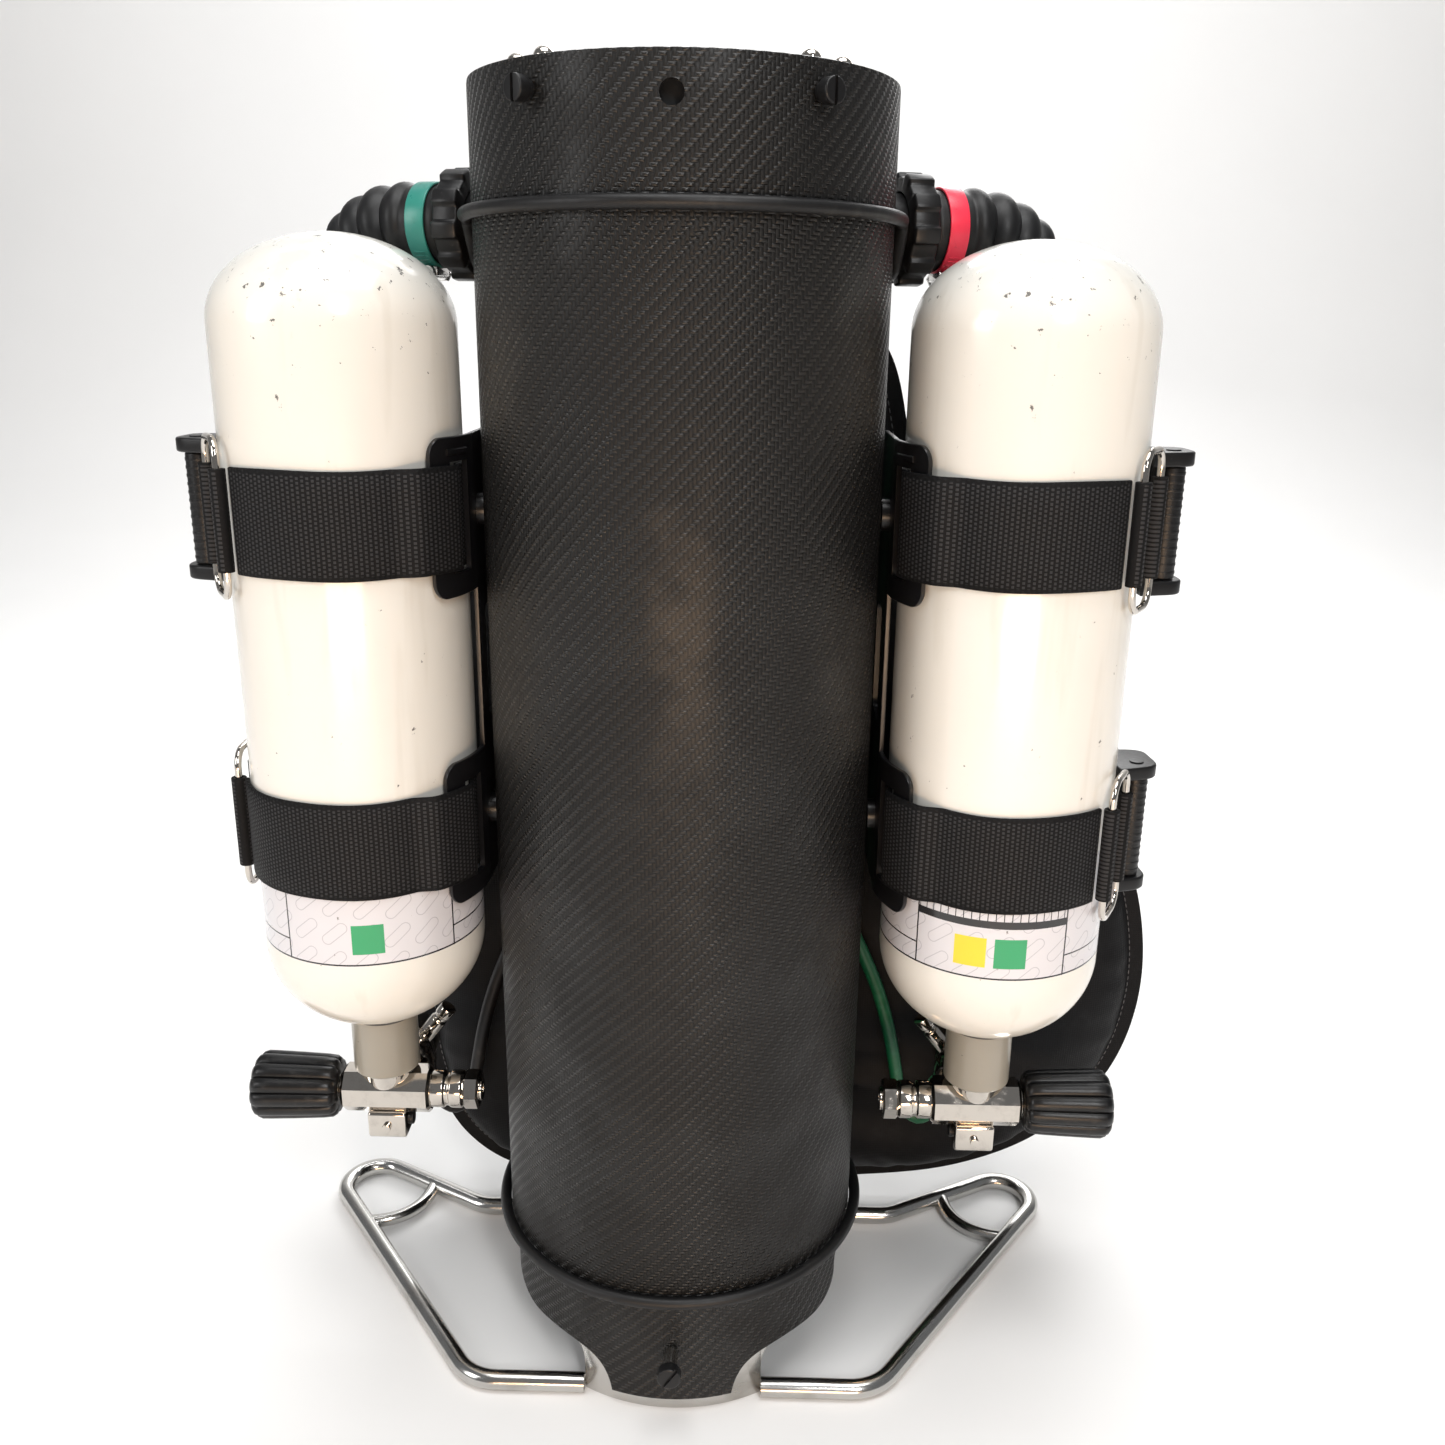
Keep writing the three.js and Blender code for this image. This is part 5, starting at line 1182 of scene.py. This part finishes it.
webbing = finish("dashed_webbing", woven(COLUMN_PITCH, DASH_PITCH, 0.8), Specular_IOR_Level=0.2)
for level, height in STRAP_HEIGHTS.items():
    for side, hand in SIDES:
        turn = BUCKLE_TURNS[f"{level}_{side}"]
        azimuths = np.linspace(STRAP_END + turn, STRAP_TAIL + turn, 150)
        radii = np.array([strap_radius(a) for a in azimuths])
        sag = 0.35 * np.sin(np.radians(azimuths) * 5)
        strap = wrapped(radii - STRAP_THICKNESS / 2, radii + STRAP_THICKNESS / 2, azimuths, -25 + sag,
                        25 + sag, 0.6)
        made = piece(f"webbing_strap_{level}_{side}", strap.on(hand),
                     cylinder_place(hand, height), crease=50)
        dress(made, webbing, "webbing", f"strap_{level}_{side}")


# ---- strap rings and cam buckles ----
# A rounded ring of polished wire links each strap's end to a plastic cam buckle. The buckle's lever,
# wrapped in the strap's tail, swings out on a pin between two caps.

RING_DISTANCE, WIRE_RADIUS = 61.6, 1.8
BUCKLE_HALF, BUCKLE_CAP = 34.5, 7.0
PIN = (-3, -70.5, 0)
ring_corners = [(0, -37), (14, -37), (14, 37), (-14, 37), (-14, -37), (0, -37)]
ring_line = bent([(across, -RING_DISTANCE, up) for across, up in ring_corners], (9, 9, 9, 9), 8)
wire_ring = swept(ring_line[:-1], WIRE_RADIUS - 0.02, 18, loop=True)
base, top = -57.8, -81.0
cap_outline = [(18.5, base), (-15.5, base), (-12, top + 9)]
cap_outline += [(-12 * (1 - t) ** 2 - 20 * t * (1 - t) - 1 * t * t, top + 9 * (1 - t) ** 2)
                for t in np.linspace(0.1, 1, 8)]
cap_outline += [(11 * (1 - t) ** 2 + 36 * t * (1 - t) + 18.5 * t * t, top + 10 * t * t)
                for t in np.linspace(0, 1, 9)]
caps = slab(cap_outline, BUCKLE_HALF - BUCKLE_CAP, BUCKLE_HALF, 1.1)
caps += slab(cap_outline, -BUCKLE_HALF, -BUCKLE_HALF + BUCKLE_CAP, 1.1)
for pin_bottom in (-35.2, 34.3):
    caps += round_bar(3.6, pin_bottom, pin_bottom + 0.9, 0.3, 32).move(*PIN)
frame_base = block((-14.5, 16.5), (-60.6, -57.9), (-33.4, 33.4), 0.8)
cam = lathe([(0, -27.1), (6.5, -27.1), (6.5, 27.1), (0, 27.1)], 0.8, 3, 40)
for z in range(-24, 25, 4):
    cam += ring_body(6.3, 6.75, z - 0.8, z + 0.8, 0.2, 40)
cam = cam.move(*PIN)
arm = block((0, 21), (-2.5, 2.5), (-27.1, 27.1), 1.2).turn(8, "Z").move(-2, -70.5, 0)
wrap = block((1, 21.3), (-3.3, 3.3), (-22, 22), 1.4).turn(8, "Z").move(-2, -70.5, 0)
folds = Form(np.zeros((0, 3)), [])
for across in (-14, 14):
    folds += ring_body(1.95, 3.85, -24, 24, 0.5, 32).move(across, -RING_DISTANCE, 0)
tail_webbing = finish("tail_webbing", woven(3.4, 2.6, 1.0), Specular_IOR_Level=0.2)
for level, height in STRAP_HEIGHTS.items():
    for side, hand in SIDES:
        name = f"{level}_{side}"
        place = cylinder_place(hand, height)
        turn = BUCKLE_TURNS[name]
        forms = {}
        for key, form, azimuth in (("ring", wire_ring, 59), ("caps", caps + frame_base, 91),
                                   ("lever", cam + arm, 91), ("wrap", wrap, 91),
                                   ("folds", folds, 59)):
            forms[key] = form.turn(azimuth + turn, "Z").on(hand)
        dress(piece(f"wire_ring_{name}", forms["ring"], place, crease=60), chrome, "chrome",
              f"strap_ring_{name}")
        dress(piece(f"buckle_caps_{name}", forms["caps"], place), moulded, "black_plastic",
              f"buckle_frame_{name}")
        dress(piece(f"cam_lever_{name}", forms["lever"], place, f"lever_{name}"), moulded, "black_plastic",
              f"buckle_lever_{name}")
        dress(piece(f"strap_folds_{name}", forms["folds"], place), webbing, "webbing")
        dress(piece(f"strap_tail_{name}", forms["wrap"], place, f"lever_{name}"), tail_webbing, "webbing")


# ---- buoyancy wing ----
# A bag of coated black cloth on the diver's side, wide and round at its foot and narrow at the top.
# Its two skins are sewn together round a flat edge with a light thread, and it holds a little air.

WING_FRONT, WING_BACK = 66.0, 107.6
FLANGE, SEAM_INSIDE = 11.0, 9.0
wing_stations = [
    (60, 562), (104, 548), (128, 470), (158, 385), (218, 318), (268, 248), (286, 165), (272, 98),
    (232, 50), (180, 24), (110, 13), (0, 12.5), (-108, 13), (-148, 40), (-168, 90), (-172, 180),
    (-160, 310), (-126, 450), (-104, 545), (-60, 562), (0, 564),
]
wing_count = 520
closed = np.array(wing_stations + wing_stations[:4], float)
wing_edge = through([(x, 0, z) for x, z in closed], 1.0)[:, (0, 2)]
first = np.argmin(np.linalg.norm(wing_edge[:40] - wing_stations[1], axis=1))
last = len(wing_edge) - 1 - np.argmin(np.linalg.norm(wing_edge[::-1][:600] - wing_stations[1], axis=1))
wing_edge = wing_edge[first:last]
wing_edge = wing_edge[np.linspace(0, len(wing_edge) - 1, wing_count).round().astype(int)]
wing_edge = counter_clockwise(wing_edge)


def wing_layer(distance):
    """The outline brought in towards the wing's upright spine by a distance."""
    spine = np.c_[np.interp(wing_edge[:, 1], (80, 180, 330, 500), (35, 45, 10, 0)),
                  np.clip(wing_edge[:, 1], 120, 500)]
    reach = spine - wing_edge
    length = np.linalg.norm(reach, axis=1)[:, None]
    return wing_edge + reach / length * np.minimum(distance, length * 0.985)


def wing_skin(distance, front):
    places = wing_layer(distance)
    inside = max(0.0, distance - FLANGE)
    swell = math.sqrt(1 - (1 - min(inside / 62, 1)) ** 2)
    along = np.arange(wing_count) * (2 * math.pi / wing_count)
    pucker = (np.sin(along * 61) + 0.6 * np.sin(along * 97 + 1)) * 0.9
    pucker = pucker * math.exp(-inside / 12) * min(inside / 2, 1)
    wave = 2.2 * np.sin(along * 9 + distance / 30) * swell
    middle = 92 + 0 * along
    if front:
        depth = middle - 1.3 - (middle - WING_FRONT - 2.5) * swell + pucker + wave
        hollow = np.sqrt(np.maximum(105.3 ** 2 - places[:, 0] ** 2, 0))
        depth = np.maximum(np.maximum(depth, hollow), WING_FRONT + 0.2)
    else:
        depth = np.minimum(middle + 1.3 + (WING_BACK - middle - 1.5) * swell - pucker, WING_BACK)
    depth = np.minimum(depth, WING_BACK - (1.4 if front else 0))
    return np.c_[places[:, 0], depth, places[:, 1]]


layers = [0.5, 2, 4, 6, 8, 10, 12, 14, 17, 21, 26, 32, 40, 50, 62, 76, 92, 110, 135, 165, 200, 260]
wing_rings = [wing_skin(d, True) for d in layers[::-1]] + [wing_skin(d, False) for d in layers]
wing = piece("air_wing", loft(wing_rings), tube_axis, crease=70)


def coated_cloth(tone):
    x, y, z = tone.places()
    weave = (x * 4200).math("SINE") + (z * 4200).math("SINE")
    worn = tone.noise(40, 5, 0.7).between(0.55, 0.75)
    return {"Base Color": worn.mix((0.003, 0.003, 0.0036, 1), (0.008, 0.0083, 0.0095, 1)),
            "Roughness": tone.noise(120, 3) * 0.15 + 0.5,
            "Normal": weave.bump(0.00007, 0.4, tone.noise(16, 4).bump(0.006, 0.3))}


dress(wing, finish("coated_cloth", coated_cloth, Specular_IOR_Level=0.15), "wing_fabric", "wing")


def thread(tone):
    return {"Base Color": tone.noise(300, 2).mix((0.05, 0.05, 0.053, 1), (0.09, 0.09, 0.094, 1)),
            "Roughness": 0.6}


seam_places = wing_skin(SEAM_INSIDE, True)
seam_travel = np.concatenate([[0], np.cumsum(np.linalg.norm(np.diff(seam_places, axis=0), axis=1))])
stitching = Form(np.zeros((0, 3)), [])
for start in np.arange(0, seam_travel[-1] - 4, 4.2):
    ends = [np.array([np.interp(s, seam_travel, seam_places[:, k]) for k in range(3)])
            for s in (start, start + 1.3, start + 2.7)]
    ends[0][1] += 0.1
    ends[2][1] += 0.1
    stitching += swept(ends, (0.25, 0.42, 0.25), 6)
dress(piece("wing_stitching", stitching, tube_axis, crease=60), finish("pale_thread", thread), "wing_fabric")


# ---- backplate ----
# A plate of black-painted sheet lies over the wing against the diver's back. It has slots for
# harness webbing and two holes for the bolts that join it to the tube.

plate_outline = bent([(0, 150), (122, 150), (122, 260), (72, 505), (-72, 505), (-122, 260), (-122, 150),
                      (0, 150)], (22, 22, 22, 22, 22, 22), 8)[:-1]


def rearwards(form):
    """Turns a flat form drawn in x and z, with its thickness up, so that the thickness runs along y."""
    return Form(form.points[:, (0, 2, 1)], [face[::-1] for face in form.faces])


backplate = piece("harness_plate", rearwards(slab(plate_outline, 108.1, 110.9, 0.6)), tube_axis)
harness_slot = block((-27, 27), (-4.5, 4.5), (100, 120), 0.05)
slots = [harness_slot.turn(-22, "Z").move(38, 477, 0), harness_slot.turn(90, "Z").move(104, 216, 0),
         harness_slot.turn(90, "Z").move(78, 216, 0)]
slots += [slot_form.mirror() for slot_form in slots]
bolt_holes = [plain_bar(5.5, 100, 120, 32).move(y=z) for z in (256.5, 416.25)]
cut_away(backplate, *[rearwards(form) for form in slots + bolt_holes])
dress(backplate, lacquered, "black_sheet", "backplate")


# ---- floor, backdrop and light ----
# A plain pale floor that runs up into a backdrop, under soft studio lights.

def plain_paper(tone):
    return {"Base Color": tone.noise(3, 2).mix((0.86, 0.855, 0.845, 1), (0.89, 0.885, 0.875, 1)),
            "Roughness": 0.75}


paper = finish("studio_paper", plain_paper)
sweep_line = eased([(-6, 0), (3.2, 0), (3.2, 5)], 1.6, 12, loop=False)
sweep_mesh = bpy.data.meshes.new("studio_floor")
sweep_points = [(x, y, z) for y, z in sweep_line for x in (-7, 7)]
sweep_faces = [(i, i + 1, i + 3, i + 2) for i in range(0, len(sweep_points) - 2, 2)]
sweep_mesh.from_pydata(sweep_points, [], sweep_faces)
sweep_mesh.shade_smooth()
sweep_mesh.materials.append(paper)
studio_floor = bpy.data.objects.new("studio_floor", sweep_mesh)
bpy.context.scene.collection.objects.link(studio_floor)

world = bpy.data.worlds.new("studio")
world.use_nodes = True
world.node_tree.nodes["Background"].inputs["Color"].default_value = (0.95, 0.97, 1.0, 1)
world.node_tree.nodes["Background"].inputs["Strength"].default_value = 0.2
bpy.context.scene.world = world

for name, place, aim, size, power, tint in (
    ("ceiling_panel", (0.1, -0.3, 2.4), (0, 0, 0.3), (1.6, 1.2), 34, (1, 1, 1)),
    ("front_left_panel", (-2.0, -1.3, 1.3), (-0.05, 0, 0.35), (0.8, 1.3), 19, (1, 1, 1)),
    ("front_right_panel", (0.75, -2.2, 1.9), (0.05, 0, 0.35), (0.35, 1.2), 30, (1, 1, 1)),
    ("rear_panel", (0.3, 2.0, 1.8), (0, 0, 0.4), (1.6, 1.2), 26, (1, 1, 1)),
    ("warm_foot_panel", (0.05, -1.5, 0.12), (0, 0, 0.1), (0.9, 0.2), 9, (1.0, 0.66, 0.40)),
    ("backdrop_panel", (0, 1.3, 2.6), (0, 3.2, 1.0), (3.0, 0.8), 45, (1, 1, 1)),
):
    light = bpy.data.lights.new(name, "AREA")
    light.shape, light.energy, light.color = "RECTANGLE", power, tint
    light.size, light.size_y = size
    lamp = bpy.data.objects.new(name, light)
    bpy.context.scene.collection.objects.link(lamp)
    lamp.location = place
    lamp.rotation_euler = (Vector(aim) - Vector(place)).to_track_quat("-Z", "Y").to_euler()

bpy.context.scene.view_settings.view_transform = "Standard"
